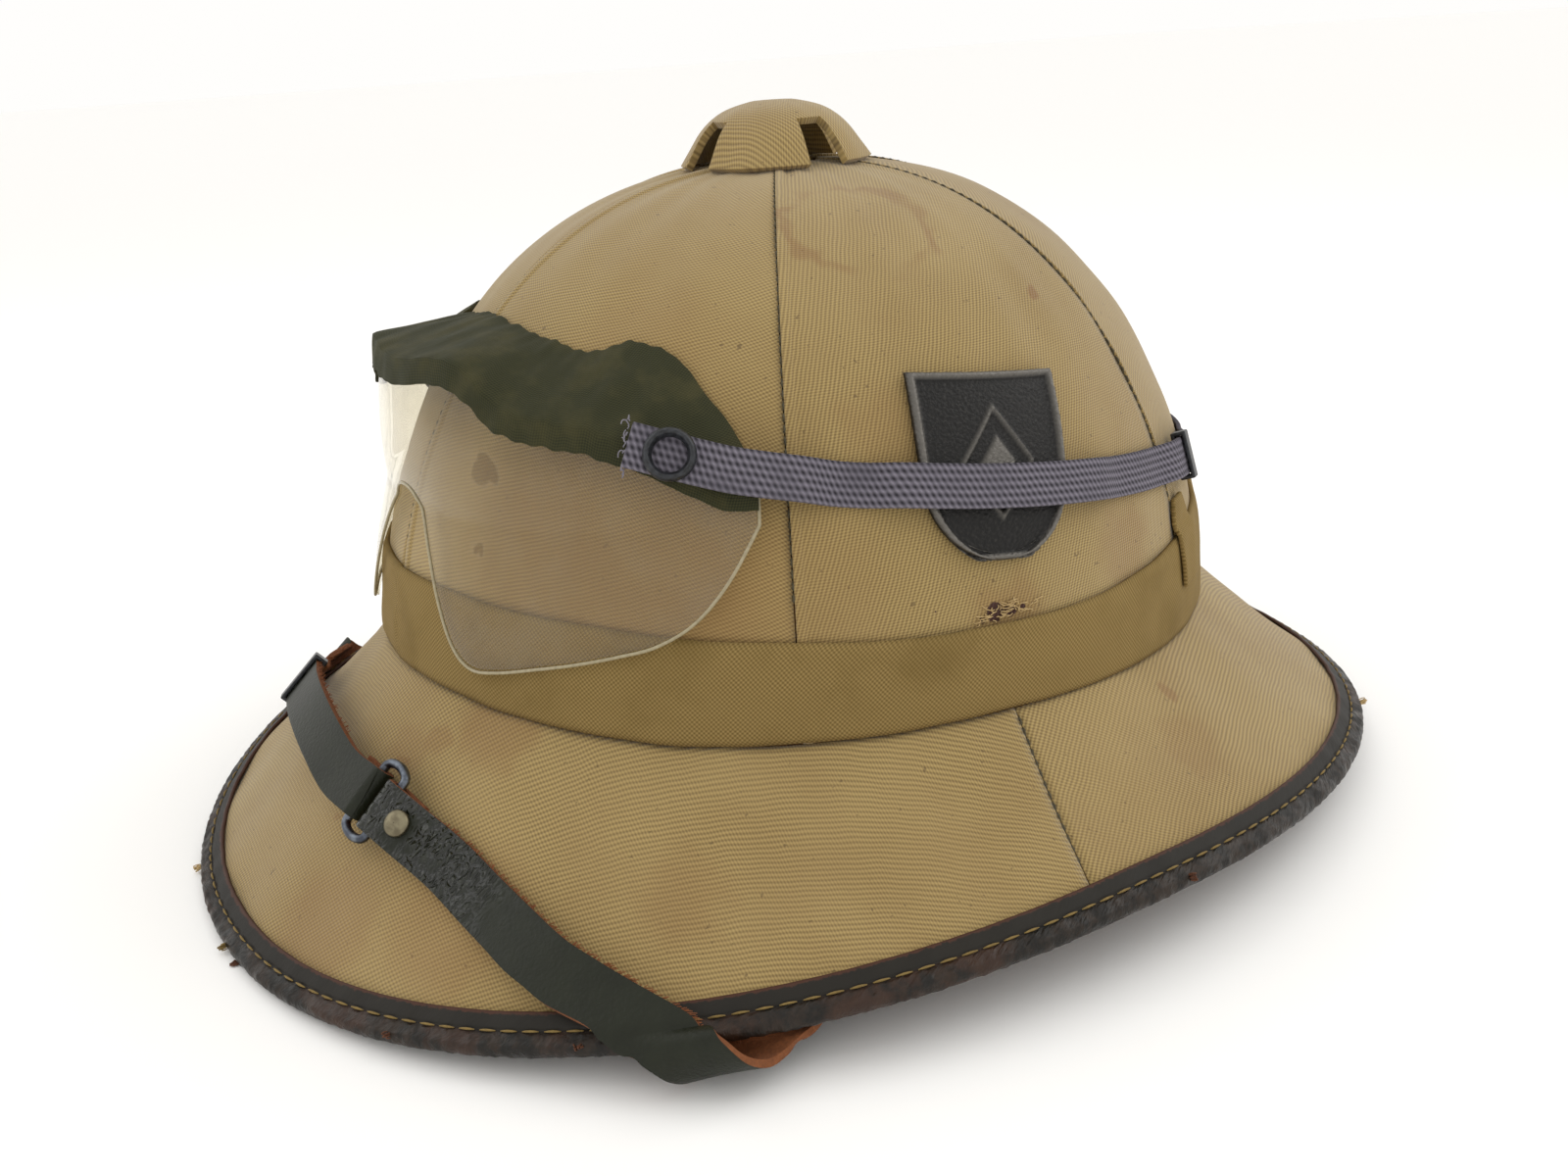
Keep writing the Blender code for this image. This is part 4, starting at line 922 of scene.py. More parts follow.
def plan_flat(points, rib_angle):
    """The flat cloth map of a piece cut flat, with its ribs at an angle from +X in plan."""
    turn = math.radians(rib_angle)
    along = points[..., 0] * math.cos(turn) + points[..., 1] * math.sin(turn)
    across = points[..., 1] * math.cos(turn) - points[..., 0] * math.sin(turn)
    return np.stack([along, across], axis=-1)


ease = math.degrees(GAP / 2 / CROWN_HALF_WIDTH)
covers = (("front", -BRIM_SEAM + ease, BRIM_SEAM - ease, FRONT_RIBS),
          ("rear", BRIM_SEAM + ease, 360.0 - BRIM_SEAM - ease, REAR_RIBS))
for name, start, end, rib_angle in covers:
    turns = np.linspace(start, end, 180)
    rows = []
    for share in np.linspace(1.0, 0.004, BRIM_ROWS):
        wave = BRIM_UNEVEN * uneven(turns / ONE_RADIAN * BRIM_MEAN_RADIUS, share * 0.05, 0.03, 60)
        rows.append(brim_point(turns, share, wave)[0])
    cover = grid_object(f"canvas_brim_{name}", rows, plan_flat(np.array(rows), rib_angle))
    add_wall(cover, CANVAS)
    finish_piece(cover, twill, [f"brim_cover_{name}"])
for name, turn in (("left", BRIM_SEAM), ("right", -BRIM_SEAM)):
    shares = np.linspace(0.04, 0.80, 30)
    path, normals = brim_point(turn, shares, 0.0001)
    stitch_row(f"brim_seam_{name}", path, normals, SEAM_STITCH, SEAM_STITCH_GAP, SEAM_THREAD, dark_thread)
print("brim covers:", len(covers))

# %% [markdown]
# ## Leather edging
#
# The edging is one strip folded round the rim: a flat flange on top, a stitched groove, then a padded
# roll that ends in a flange below. The roll has been handled for years, so it is full of wrinkles.

# %% Leather edging
EDGE_COLUMNS = 900
FLANGE_BELOW = 0.0070
GROOVE_AT = 0.0026
GROOVE_DEPTH, GROOVE_SPREAD, GROOVE_SIDE = 0.0005, 0.0004, 0.0012
ROLL_BULGE, ROLL_PAD = 0.0002, 0.0002
WRINKLE = 0.00016
FLANGE_WAVE = 0.00012
EDGE_STITCH, EDGE_STITCH_GAP, EDGE_THREAD = 0.0036, 0.0012, 0.00028
# distances of the section's points from the middle of the roll, from the flange's upper edge inwards
SECTION_TOP = (0.0068, 0.0064, 0.0056, 0.0046, 0.0036, 0.0031, 0.0026, 0.0021, 0.0016, 0.0010, 0.0004)

angles = np.arange(EDGE_COLUMNS) * 360.0 / EDGE_COLUMNS
lengths = brim_length(angles)
outside = GAP + EDGE_LEATHER
centre_line = roll_centre(angles)
travelled = np.cumsum(np.linalg.norm(np.roll(centre_line, -1, axis=0) - centre_line, axis=1))
rows = []
for distance in SECTION_TOP:
    hollow = -GROOVE_DEPTH * math.exp(-((distance - GROOVE_AT) / GROOVE_SPREAD) ** 2)
    bulge = ROLL_BULGE * min(max((GROOVE_AT - distance) / GROOVE_SIDE, 0.0), 1.0)
    wave = FLANGE_WAVE * uneven(travelled, distance, 0.009, 81)
    if distance < GROOVE_AT:
        wave = WRINKLE * uneven(travelled, distance, 0.0030, 82)
    rows.append(brim_point(angles, 1 - distance / lengths, outside + hollow + bulge + wave)[0])
for turn in np.linspace(86.0, -84.0, 16):
    wave = WRINKLE * uneven(travelled, -math.radians(90.0 - turn) * ROLL_RADIUS, 0.0030, 82)
    bulge = ROLL_BULGE * max(math.sin(math.radians(turn)), 0.0) + ROLL_PAD
    rows.append(rim_point(angles, turn, ROLL_RADIUS + bulge + wave)[0])
for distance in (0.0012, 0.0035, FLANGE_BELOW):
    share = 1 - distance / lengths
    rows.append(brim_point(angles, share, -brim_depth(share) - outside)[0])
rows = np.array(rows)
rows[..., 2] = np.maximum(rows[..., 2], 0.0)
edging = grid_object("leather_edging", rows[::-1], flat_grid(rows, closed=True)[::-1], closed=True)
add_wall(edging, EDGE_LEATHER)
finish_piece(edging, edging_leather, ["brim_binding"])

turns = np.linspace(0.0, 360.0, 721)
path, normals = brim_point(turns, 1 - GROOVE_AT / brim_length(turns), outside)
stitch_row("edging_stitches", path, normals, EDGE_STITCH, EDGE_STITCH_GAP, EDGE_THREAD, yellow_thread)
# angle, turn round the roll, material, seed
FRAYS = ((-11.5, 35.0, pale_thread, 211), (5.0, 40.0, yellow_thread, 212), (7.5, 10.0, brown_fibre, 213),
         (30.0, 70.0, brown_fibre, 214), (46.0, 75.0, brown_fibre, 215), (93.0, 70.0, brown_fibre, 216),
         (136.5, 60.0, pale_thread, 217))
# a fray is short along the rim, reaches round the roll in degrees per metre and stands off it
FRAY_ALONG, FRAY_ROUND, FRAY_LIFT = 0.4, 6000.0, 3.0
LOWEST = (-1.0, -1.0, 0.0004)
for number, (angle, turn, fibre, seed) in enumerate(FRAYS):
    def off_roll(across, along, lift, angle=angle, turn=turn):
        spot = angle + math.degrees(across * FRAY_ALONG / RIM_HALF_LENGTH)
        point = rim_point(spot, turn + along * FRAY_ROUND, ROLL_RADIUS + lift * FRAY_LIFT)[0]
        return np.maximum(point, LOWEST)


    loose_threads(f"edging_fray_{number + 1}", off_roll, 9, 0.0014, 0.0026, 0.00014, fibre,
                  seed)
print("edging quads:", rows.shape[0] * rows.shape[1])

# %% [markdown]
# ## Cotton band
#
# A bias-cut band hides the joint of crown and brim. Its threads cross it at 45 degrees, so it bends
# round the crown without gathers. Its end is tucked in at the rear.

# %% Band and tuck
BAND_COLUMNS = 480
BAND_ROWS = 16
BAND_EDGE_WAVE, BAND_WAVE, BAND_ROUNDING, BAND_ROUND_SHARE = 0.0003, 0.00022, 0.0004, 0.12
TUCK_ROWS, TUCK_COLUMNS, TUCK_WAVE, TUCK_NARROWING, TUCK_STRAIGHT = 24, 16, 0.0002, 0.45, 0.6
TUCK_ANGLE, TUCK_WIDTH, TUCK_ABOVE, TUCK_BELOW, TUCK_EASE = 122.0, 0.0140, 0.0090, 0.0130, 0.0030

angles = np.arange(BAND_COLUMNS) * 360.0 / BAND_COLUMNS
low = joint_height(angles) + GAP
high = band_top(angles)
arc = angles / ONE_RADIAN * CROWN_MEAN_RADIUS
rows = []
for share in np.linspace(0.0, 1.0, BAND_ROWS):
    heights = low + (high - low) * share + BAND_EDGE_WAVE * uneven(arc, 0.0, 0.05, 90)
    wave = BAND_WAVE * uneven(arc, heights, 0.014, 91)
    rounding = -BAND_ROUNDING * max(abs(share - 0.5) * 2 - (1 - BAND_ROUND_SHARE), 0.0) / BAND_ROUND_SHARE
    rows.append(crown_point(angles, heights, BAND_OUTSIDE + 0.0001 + wave + rounding)[0])
band = grid_object("cotton_band", rows, closed=True)
add_wall(band, BAND_WALL)
finish_piece(band, bias_cotton, ["puggaree_band"])

reach = math.degrees(TUCK_WIDTH / 2 / CROWN_HALF_LENGTH)
rows = []
for share in np.linspace(0.0, 1.0, TUCK_ROWS):
    height = band_top(TUCK_ANGLE) - TUCK_BELOW + (TUCK_BELOW + TUCK_ABOVE) * share
    narrow = 1.0 - TUCK_NARROWING * max(share - TUCK_STRAIGHT, 0.0) ** 1.5 / (1 - TUCK_STRAIGHT) ** 1.5
    turns = TUCK_ANGLE + np.linspace(-reach, reach, TUCK_COLUMNS) * narrow
    wave = TUCK_WAVE * uneven(turns / ONE_RADIAN * CROWN_MEAN_RADIUS, height, 0.010, 93)
    above = np.clip((height - band_top(TUCK_ANGLE)) / TUCK_EASE, 0.0, 1.0)
    seat = BAND_OUTSIDE + GAP - (BAND_OUTSIDE - 0.0002) * above ** 2 * (3 - 2 * above)
    rows.append(crown_point(turns, height, seat + BAND_WALL + wave)[0])
tuck = grid_object("band_end_tucked_in", rows)
add_wall(tuck, BAND_WALL)
round_edges(tuck, 0.0004)
finish_piece(tuck, bias_cotton, ["puggaree_tuck"])
print("band columns:", BAND_COLUMNS)

# %% [markdown]
# ## Air cap
#
# A small canvas-covered dome stands over the air hole on four flaps, with an opening between each two.

# %% Air cap
CAP_RADIUS, CAP_RISE, CAP_WALL = 0.0248, 0.0149, 0.0020
CAP_OPENING, CAP_TURN, CAP_FOOT_LIFT = 26.0, 2.0, 0.55
CAP_PROFILE = ((0.0, 1.0), (0.12, 0.995), (0.24, 0.980), (0.48, 0.875), (0.65, 0.720), (0.79, 0.505),
               (0.91, 0.225), (1.00, 0.000))
CAP_ROWS, CAP_OPENING_COLUMNS, CAP_FLAP_COLUMNS = 40, 6, 24
# share of the radius beyond which the openings lie, and the turn of the cap's ribs
CAP_OPEN_FROM, CAP_RIBS = 0.655, 28.0
CAP_UNEVEN, CAP_POLE, CAP_MEAN_RADIUS = 0.0003, 0.004, 0.025


def crown_top_height(radius):
    narrow = radius / (CROWN_HALF_WIDTH + CROWN_HALF_LENGTH) * 2
    return CROWN_BASE + CROWN_RISE * (1 - narrow ** CROWN_TOP_POWER) ** (1 / CROWN_SIDE_POWER)


half = CAP_OPENING / 2
quarter = np.concatenate([np.linspace(-half, half, CAP_OPENING_COLUMNS + 1)[:-1],
                          np.linspace(half, 90.0 - half, CAP_FLAP_COLUMNS + 1)[:-1]])
angles = CAP_TURN + np.concatenate([quarter + 90.0 * turn for turn in range(4)])
in_opening = np.tile(np.arange(len(quarter)) < CAP_OPENING_COLUMNS, 4)
foot = crown_top_height(CAP_RADIUS) + GAP + CAP_WALL * CAP_FOOT_LIFT
profile = between(CAP_PROFILE, CAP_ROWS)[::-1]
profile[-1, 0] = CAP_POLE
rows = []
for radius_share, rise_share in profile:
    wave = CAP_UNEVEN * uneven(angles / ONE_RADIAN * CAP_MEAN_RADIUS, rise_share * 0.01, 0.012, 95)
    reach = CAP_RADIUS * radius_share + wave
    x = reach * np.sin(np.radians(angles))
    y = CROWN_SETBACK - reach * np.cos(np.radians(angles))
    rows.append(np.stack([x, y, np.full_like(x, foot + CAP_RISE * rise_share)], axis=-1))
rows = np.array(rows)
keep = np.ones((len(rows) - 1, len(angles)), bool)
open_rows = int(np.sum(profile[:, 0] > CAP_OPEN_FROM)) - 1
keep[:open_rows] = ~in_opening
cap = grid_object("air_cap", rows, plan_flat(np.concatenate([rows, rows[:, :1]], axis=1), CAP_RIBS),
                  closed=True, keep=keep)
add_wall(cap, CAP_WALL)
round_edges(cap, 0.0007, 3, 40.0)
finish_piece(cap, twill, ["vent_cap"])
print("cap opening rows:", open_rows)

# %% [markdown]
# ## Badge
#
# The badge is a cast metal shield, bent to the crown. A raised, bevelled border surrounds a pebbled
# field with a plain lozenge. The height of the casting is kept on the mesh, and the finish is worn
# where that number is high.

# %% Badge
BADGE_ANGLE, BADGE_TILT, BADGE_LIFT = 86.5, 8.5, 0.0535
BADGE_WIDTH, BADGE_LENGTH, BADGE_WALL = 0.0350, 0.0415, 0.0016
BADGE_RIM, BADGE_RELIEF = 0.0017, 0.0010
BADGE_LIP, BADGE_BEVEL = 0.0004, 0.0005
LOZENGE_HALF_WIDTH, LOZENGE_HALF_HEIGHT, LOZENGE_RISE = 0.0080, 0.0120, 0.0010
# shares of the lozenge: its ridge's half width, its boss's edge and the slope of that edge
LOZENGE_RIDGE, LOZENGE_BOSS, LOZENGE_SLOPE = 0.11, 0.55, 0.12
PEBBLE_GRAIN, PEBBLE_HEIGHT = 0.0011, 0.10
BADGE_OUTLINE_POINTS = 200
# share of the length from the tip, and the half width there as a share of the widest
BADGE_OUTLINE = ((0.00, 0.04), (0.012, 0.22), (0.05, 0.46), (0.13, 0.69), (0.25, 0.87), (0.40, 0.96),
                 (0.60, 0.99), (0.80, 1.00), (0.95, 1.00), (1.00, 1.00))


def badge_point(across, along, offset):
    """A point of the badge: across and along are metres on the crown from its middle."""
    tilt = math.radians(BADGE_TILT)
    side = across * math.cos(tilt) + along * math.sin(tilt)
    rise = along * math.cos(tilt) - across * math.sin(tilt)
    middle = CROWN_BASE + BADGE_LIFT
    normal = crown_point(BADGE_ANGLE, middle)[1]
    height = middle + rise * math.hypot(normal[0], normal[1])
    reach = np.linalg.norm(crown_point(BADGE_ANGLE, height)[0][..., :2] - (0.0, CROWN_SETBACK), axis=-1)
    return crown_point(BADGE_ANGLE + np.degrees(side / reach), height, offset)[0]


shares = np.concatenate([[0.0, 0.006], np.linspace(0.02, 0.98, 84), [0.994, 1.0]])
columns = np.concatenate([[-1.0, -0.985], np.linspace(-0.95, 0.95, 70), [0.985, 1.0]])
outline = between(BADGE_OUTLINE, BADGE_OUTLINE_POINTS)
half_width = np.interp(shares, outline[:, 0], outline[:, 1]) * BADGE_WIDTH / 2
across = columns[None, :] * half_width[:, None]
along = np.broadcast_to((shares[:, None] - 0.5) * BADGE_LENGTH, across.shape)
edge = np.minimum((half_width[:, None] - np.abs(across)) * 0.8,
                  np.minimum(shares, 1 - shares)[:, None] * BADGE_LENGTH)
lip = np.clip(edge / BADGE_LIP, 0.0, 1.0)
border = np.clip((BADGE_RIM - edge) / BADGE_BEVEL, 0.0, 1.0) * lip
lozenge = np.abs(across) / LOZENGE_HALF_WIDTH + np.abs(along - LOZENGE_RISE) / LOZENGE_HALF_HEIGHT
ridge = np.clip(1.0 - np.abs(lozenge - 1.0) / LOZENGE_RIDGE, 0.0, 1.0)
boss = np.clip((LOZENGE_BOSS - lozenge) / LOZENGE_SLOPE, 0.0, 1.0) * 0.8
pebbles = PEBBLE_HEIGHT * uneven(across, along, PEBBLE_GRAIN, 97, 14)
relief = np.clip(np.maximum(np.maximum(border, ridge * 0.8), boss) + pebbles, -0.2, 1.1)
height = GAP + BADGE_WALL + BADGE_RELIEF * relief - 0.0005 * (1 - lip)
badge = grid_object("shield_badge", badge_point(across, along, height))
field = badge.data.attributes.new("relief", "FLOAT", "POINT")
field.data.foreach_set("value", np.clip(relief, 0.0, 1.0).astype(np.float32).ravel())
add_wall(badge, BADGE_WALL)
finish_piece(badge, cast_zinc, ["badge"])
print("badge points:", relief.size)

# %% [markdown]
# ## Goggles
#
# One clear moulded sheet with a nose arch hangs from an oiled cotton brow. The brow folds over the
# sheet's top and leans back to the crown above it. Both are wider than the face, so their ends curve
# round to the snaps.

# %% Outline of the goggles
GOGGLE_ANGLE, GOGGLE_HALF_SPAN = 2.0, 54.5
GOGGLE_HEIGHT, GOGGLE_LIFT = 0.0870, 0.0135
GOGGLE_EDGE_POINTS = 600
LENS_WALL, LENS_CLEARANCE = 0.0012, 0.0005
LENS_BEND_HEIGHT, LENS_STAND_OFF, LENS_STAND_OFF_RISE = 0.0465, 0.0110, 0.0210
LENS_TUCK, LENS_SPREAD, LENS_BELOW_FOLD = 0.0040, 1.5, 0.0014
BROW_WALL, BROW_CLEARANCE, BROW_LEAN, BROW_FOLD_SHARE = 0.0010, 0.0008, 0.45, 0.6
GOGGLE_EDGES = (
    # share of the half span, then shares of the goggles' height: lens low, brow low, brow high
    (0.00, 0.420, 0.625, 0.845),
    (0.05, 0.408, 0.627, 0.844),
    (0.10, 0.360, 0.631, 0.841),
    (0.15, 0.270, 0.636, 0.837),
    (0.20, 0.165, 0.638, 0.831),
    (0.26, 0.055, 0.637, 0.822),
    (0.32, 0.012, 0.612, 0.816),
    (0.40, 0.020, 0.572, 0.803),
    (0.50, 0.045, 0.557, 0.788),
    (0.60, 0.070, 0.545, 0.808),
    (0.70, 0.098, 0.527, 0.801),
    (0.78, 0.125, 0.500, 0.773),
    (0.86, 0.180, 0.463, 0.705),
    (0.93, 0.270, 0.434, 0.630),
    (1.00, 0.400, 0.430, 0.530),
)


def goggle_edge(share, column):
    """Height of one edge of the goggles, as a smooth curve through the measured shares."""
    rows = np.array(GOGGLE_EDGES)
    mirrored = np.concatenate([rows[:0:-1] * (-1, 1, 1, 1), rows])
    fine = between(mirrored[:, [0, column]], GOGGLE_EDGE_POINTS)
    return CROWN_BASE + GOGGLE_LIFT + GOGGLE_HEIGHT * np.interp(share, fine[:, 0], fine[:, 1])


def lens_offset(turn, height):
    """Distance of the lens's outer face from the canvas: close below, upright in front above."""
    close = BAND_OUTSIDE + LENS_CLEARANCE + LENS_WALL
    spread = np.cos(np.radians(np.abs(turn) * LENS_SPREAD))
    climb = np.maximum(height - CROWN_BASE - LENS_BEND_HEIGHT, 0.0) / LENS_STAND_OFF_RISE
    return close + LENS_STAND_OFF * climb * spread


def brow_fold(share):
    low, high = goggle_edge(share, 2), goggle_edge(share, 3)
    return low, np.minimum(low + LENS_TUCK + GAP, low + (high - low) * BROW_FOLD_SHARE), high


def brow_rows(share):
    """Heights and offsets of the brow: over the lens's top, then leaning back to the crown."""
    turn = share * GOGGLE_HALF_SPAN
    low, fold, high = brow_fold(share)
    on_crown = np.full_like(high, GAP + BROW_WALL)
    over_lens = BROW_CLEARANCE + BROW_WALL
    offset_fold = lens_offset(turn, fold) + over_lens
    middle = fold + (high - fold) * (1 - BROW_LEAN)
    offset_middle = on_crown + (offset_fold - on_crown) * BROW_LEAN
    offset_low = lens_offset(turn, low) + over_lens
    return (low, fold, middle, high), (offset_low, offset_fold, offset_middle, on_crown)


# %% Lens
LENS_COLUMNS, LENS_ROWS = 181, 34
LENS_BEAD, LENS_WAVE = 0.0004, 0.00012

shares = np.linspace(-1.0, 1.0, LENS_COLUMNS)
turns = shares * GOGGLE_HALF_SPAN
low = goggle_edge(shares, 1)
high = brow_fold(shares)[1] - LENS_BELOW_FOLD
rows = []
for share in np.linspace(0.0, 1.0, LENS_ROWS):
    heights = low + (high - low) * share
    wave = LENS_WAVE * uneven(turns / ONE_RADIAN * CROWN_MEAN_RADIUS, heights, 0.020, 101)
    rows.append(crown_point(GOGGLE_ANGLE + turns, heights, lens_offset(turns, heights) + wave)[0])
rows = np.array(rows)
lens = grid_object("clear_lens", rows)
lens.data.materials.append(acetate)
lens.data.materials.append(acetate_back)
add_wall(lens, LENS_WALL * 0.8, inner=1)
finish_piece(lens, None, ["goggle_lens"])
bead = np.concatenate([rows[:, 0][::-1], rows[0], rows[:, -1]])
# the bead's pale colour is a painted highlight along the lens's edge
wire("lens_bead", [bead], LENS_BEAD, painted_edge_highlight)
print("lens points:", rows.shape[0] * rows.shape[1])

# %% Brow
BROW_COLUMNS, BROW_FINE = 260, 30
BROW_WAVE, BROW_RAGGED, BROW_RADIUS = 0.00035, 0.0004, 0.115

shares = np.linspace(-1.0, 1.0, BROW_COLUMNS)
heights, offsets = brow_rows(shares)
section = np.array([0.0, 0.25, 0.6, 1.0])
fine = np.linspace(0.0, 1.0, BROW_FINE)
rows = []
for share in fine:
    height, offset = (looked_up(share, section, np.array(table)) for table in (heights, offsets))
    across = shares * GOGGLE_HALF_SPAN / ONE_RADIAN * BROW_RADIUS
    wave = BROW_WAVE * uneven(across, height, 0.011, 103)
    ragged = BROW_RAGGED * uneven(across, share * 0.002, 0.006, 104) * abs(share - 0.5) * 2
    rows.append(crown_point(GOGGLE_ANGLE + shares * GOGGLE_HALF_SPAN, height + ragged,
                            offset + np.maximum(wave, -GAP))[0])
brow = grid_object("oiled_brow", rows)
add_wall(brow, BROW_WALL)
round_edges(brow, 0.0003)
finish_piece(brow, oiled_cotton, ["goggle_brow"])
print("brow points:", BROW_COLUMNS * BROW_FINE)

# %% [markdown]
# ## Webbing, snaps and slide
#
# The elastic runs round the crown from snap to snap. It rides over whatever lies below it, so its
# height over the canvas is found from the brow, the band, the badge and its own slide.

# %% Webbing
SNAP_ANGLE, SNAP_GAP = 46.7, 0.0006
WEB_WIDTH, WEB_WALL, WEB_TAIL_ANGLE = 0.0098, 0.0012, 41.5
WEB_MEAN_HEIGHT, WEB_PITCH, WEB_END_RISE, WEB_END_SPREAD = 0.0478, 0.0168, 0.0012, 8.0
WEB_LIE, WEB_SLOPE, WEB_FLAT, WEB_REACH = 0.0005, 0.0009, 4.0, 12.0
# the elastic is sold 10 mm wide and narrows a little when stretched
WEB_SPOTS, WEB_STEP = 5, 4.0
SLIDE_ANGLE, SLIDE_LENGTH, SLIDE_WALL, SLIDE_CLEARANCE = 127.0, 0.0040, 0.0010, 0.0016


def web_height(turn):
    """Height of the middle of the webbing, at an angle from the middle of the goggles."""
    end = np.clip((SNAP_ANGLE - GOGGLE_ANGLE + WEB_END_SPREAD - np.abs(turn)) / WEB_END_SPREAD, 0.0, 2.0)
    level = CROWN_BASE + WEB_MEAN_HEIGHT + WEB_PITCH * np.cos(np.radians(turn))
    return level + WEB_END_RISE * end


def lies_under_web(turn):
    """Distance from the canvas to the top of what lies under the webbing at one angle."""
    angle = GOGGLE_ANGLE + turn
    height = float(web_height(turn))
    tops = [WEB_LIE]
    if abs(turn) <= GOGGLE_HALF_SPAN:
        heights, offsets = brow_rows(abs(turn) / GOGGLE_HALF_SPAN)
        spots = np.linspace(height - WEB_WIDTH / 2, height + WEB_WIDTH / 2, WEB_SPOTS)
        tops.append(max(np.interp(spots, heights, offsets)) + 2 * GAP)
        tops.append(max(lens_offset(turn, spots)) + GAP)
    badge_reach = math.degrees((BADGE_WIDTH / 2 + WEB_WIDTH / 4) / CROWN_HALF_WIDTH)
    if abs(angle - BADGE_ANGLE) < badge_reach:
        tops.append(GAP + BADGE_WALL + BADGE_RELIEF + 2 * GAP)
    if abs(angle - SLIDE_ANGLE) < math.degrees(SLIDE_LENGTH / CROWN_HALF_WIDTH):
        tops.append(SLIDE_WALL + SLIDE_CLEARANCE)
    if height - WEB_WIDTH / 2 < band_top(angle) + GAP:
        tops.append(BAND_OUTSIDE + GAP)
    return max(tops)


def web_seat(turn):
    """Distance of the webbing's inner face from the canvas, sloping down beside what it rides over."""
    tops = []
    for away in np.arange(-WEB_REACH, WEB_REACH + 1.0):
        spot = (turn + away + 180.0) % 360.0 - 180.0
        tops.append(lies_under_web(spot) - WEB_SLOPE * max(abs(away) - WEB_FLAT, 0.0))
    return max(tops)


def web_direction(turn):
    ends = [crown_point(GOGGLE_ANGLE + spot, web_height(spot), web_seat(spot))[0]
            for spot in (turn - WEB_STEP, turn + WEB_STEP)]
    return unit(ends[1] - ends[0])


def smooth_along(rows, steps):
    """Rows of points with a smooth curve through each row, several steps to each gap."""
    first, last = 2 * rows[:, :1] - rows[:, 1:2], 2 * rows[:, -1:] - rows[:, -2:-1]
    rows = np.concatenate([first, rows, last], axis=1)
    four = rows[:, :-3], rows[:, 1:-2], rows[:, 2:-1], rows[:, 3:]
    parts = [curve_point(*four, t) for t in np.linspace(0.0, 1.0, steps, endpoint=False)]
    fine = np.stack(parts, axis=2).reshape(len(rows), -1, rows.shape[-1])
    return np.concatenate([fine, rows[:, -2:-1]], axis=1)


def ribbon(name, points, normals, width, wall, skew=0.0, columns=13, steps=8, start=0.0, back=0):
    """A strap along points on its inner face, with a flat map along it and a material for its back."""
    along = unit(np.gradient(points, axis=0))
    across = unit(np.cross(normals, along)) + along * np.asarray(skew)[..., None]
    edges = smooth_along(np.stack([points - across * width / 2, points + across * width / 2]), steps)
    shares = np.linspace(0.0, 1.0, columns)[:, None, None]
    rows = edges[:1] * (1 - shares) + edges[1:] * shares
    flat = np.stack([np.broadcast_to(start + distances(edges.mean(axis=0)), rows.shape[:2]),
                     np.broadcast_to((shares[..., 0] - 0.5) * width, rows.shape[:2])], axis=2)
    strip = grid_object(name, rows, flat)
    add_wall(strip, wall, 1.0, back, back).use_even_offset = False
    return strip


first = WEB_TAIL_ANGLE - GOGGLE_ANGLE
turns = np.linspace(first, 360.0 - first, 71)
signed = (turns + 180.0) % 360.0 - 180.0
seats = np.array([web_seat(turn) for turn in signed])
points, normals = crown_point(GOGGLE_ANGLE + turns, web_height(signed), seats)
webbing = ribbon("elastic_loop", points, normals, WEB_WIDTH, WEB_WALL)
round_edges(webbing, 0.0003)
finish_piece(webbing, elastic_web, ["goggle_strap"])
end_seat = web_seat(first)


def past_web_end(across, along, lift):
    turn = first - abs(across) * math.degrees(1.0 / CROWN_HALF_LENGTH)
    return crown_point(GOGGLE_ANGLE + turn, web_height(first) + along, end_seat + lift)[0]


loose_threads("webbing_frayed_end", past_web_end, 22, np.array((0.0012, 0.0045)), 0.0018, 0.00014,
              web_fibre, 231)

# %% Snaps and the webbing's slide
FRAME_ROUNDING = 0.35


def turned(name, centre, normal, profile, material, slot_name, replaced=(), sides=48):
    """A round piece from a profile of radius and height pairs, standing on a face."""
    angles = np.arange(sides) * math.tau / sides
    side = unit(np.cross(normal, (0.0, 0.0, 1.0)))
    other = np.cross(normal, side)
    round_it = np.cos(angles)[:, None] * side + np.sin(angles)[:, None] * other
    rows = [centre + radius * round_it + normal * lift for radius, lift in profile]
    return finish_piece(grid_object(name, rows, closed=True), material, replaced)


def frame_loop(name, centre, normal, along, inside, length, wall, material, replaced=()):
    """A flat metal loop that a strap runs through."""
    across = unit(np.cross(normal, along))
    rows = []
    for share, extra in ((0.5, wall), (-0.5, wall), (-0.5, 0.0), (0.5, 0.0), (0.5, wall)):
        half_width, half_height = inside[0] / 2 + extra, inside[1] / 2 + extra
        rows.append([centre + along * length * share + across * half_width * x + normal * half_height * z
                     for x, z in ((-1, -1), (1, -1), (1, 1), (-1, 1))])
    thing = grid_object(name, rows, closed=True)
    thing.data.shade_flat()
    weld = thing.modifiers.new("weld", "WELD")
    weld.merge_threshold = wall / 100
    round_edges(thing, wall * FRAME_ROUNDING, 3)
    return finish_piece(thing, material, replaced)


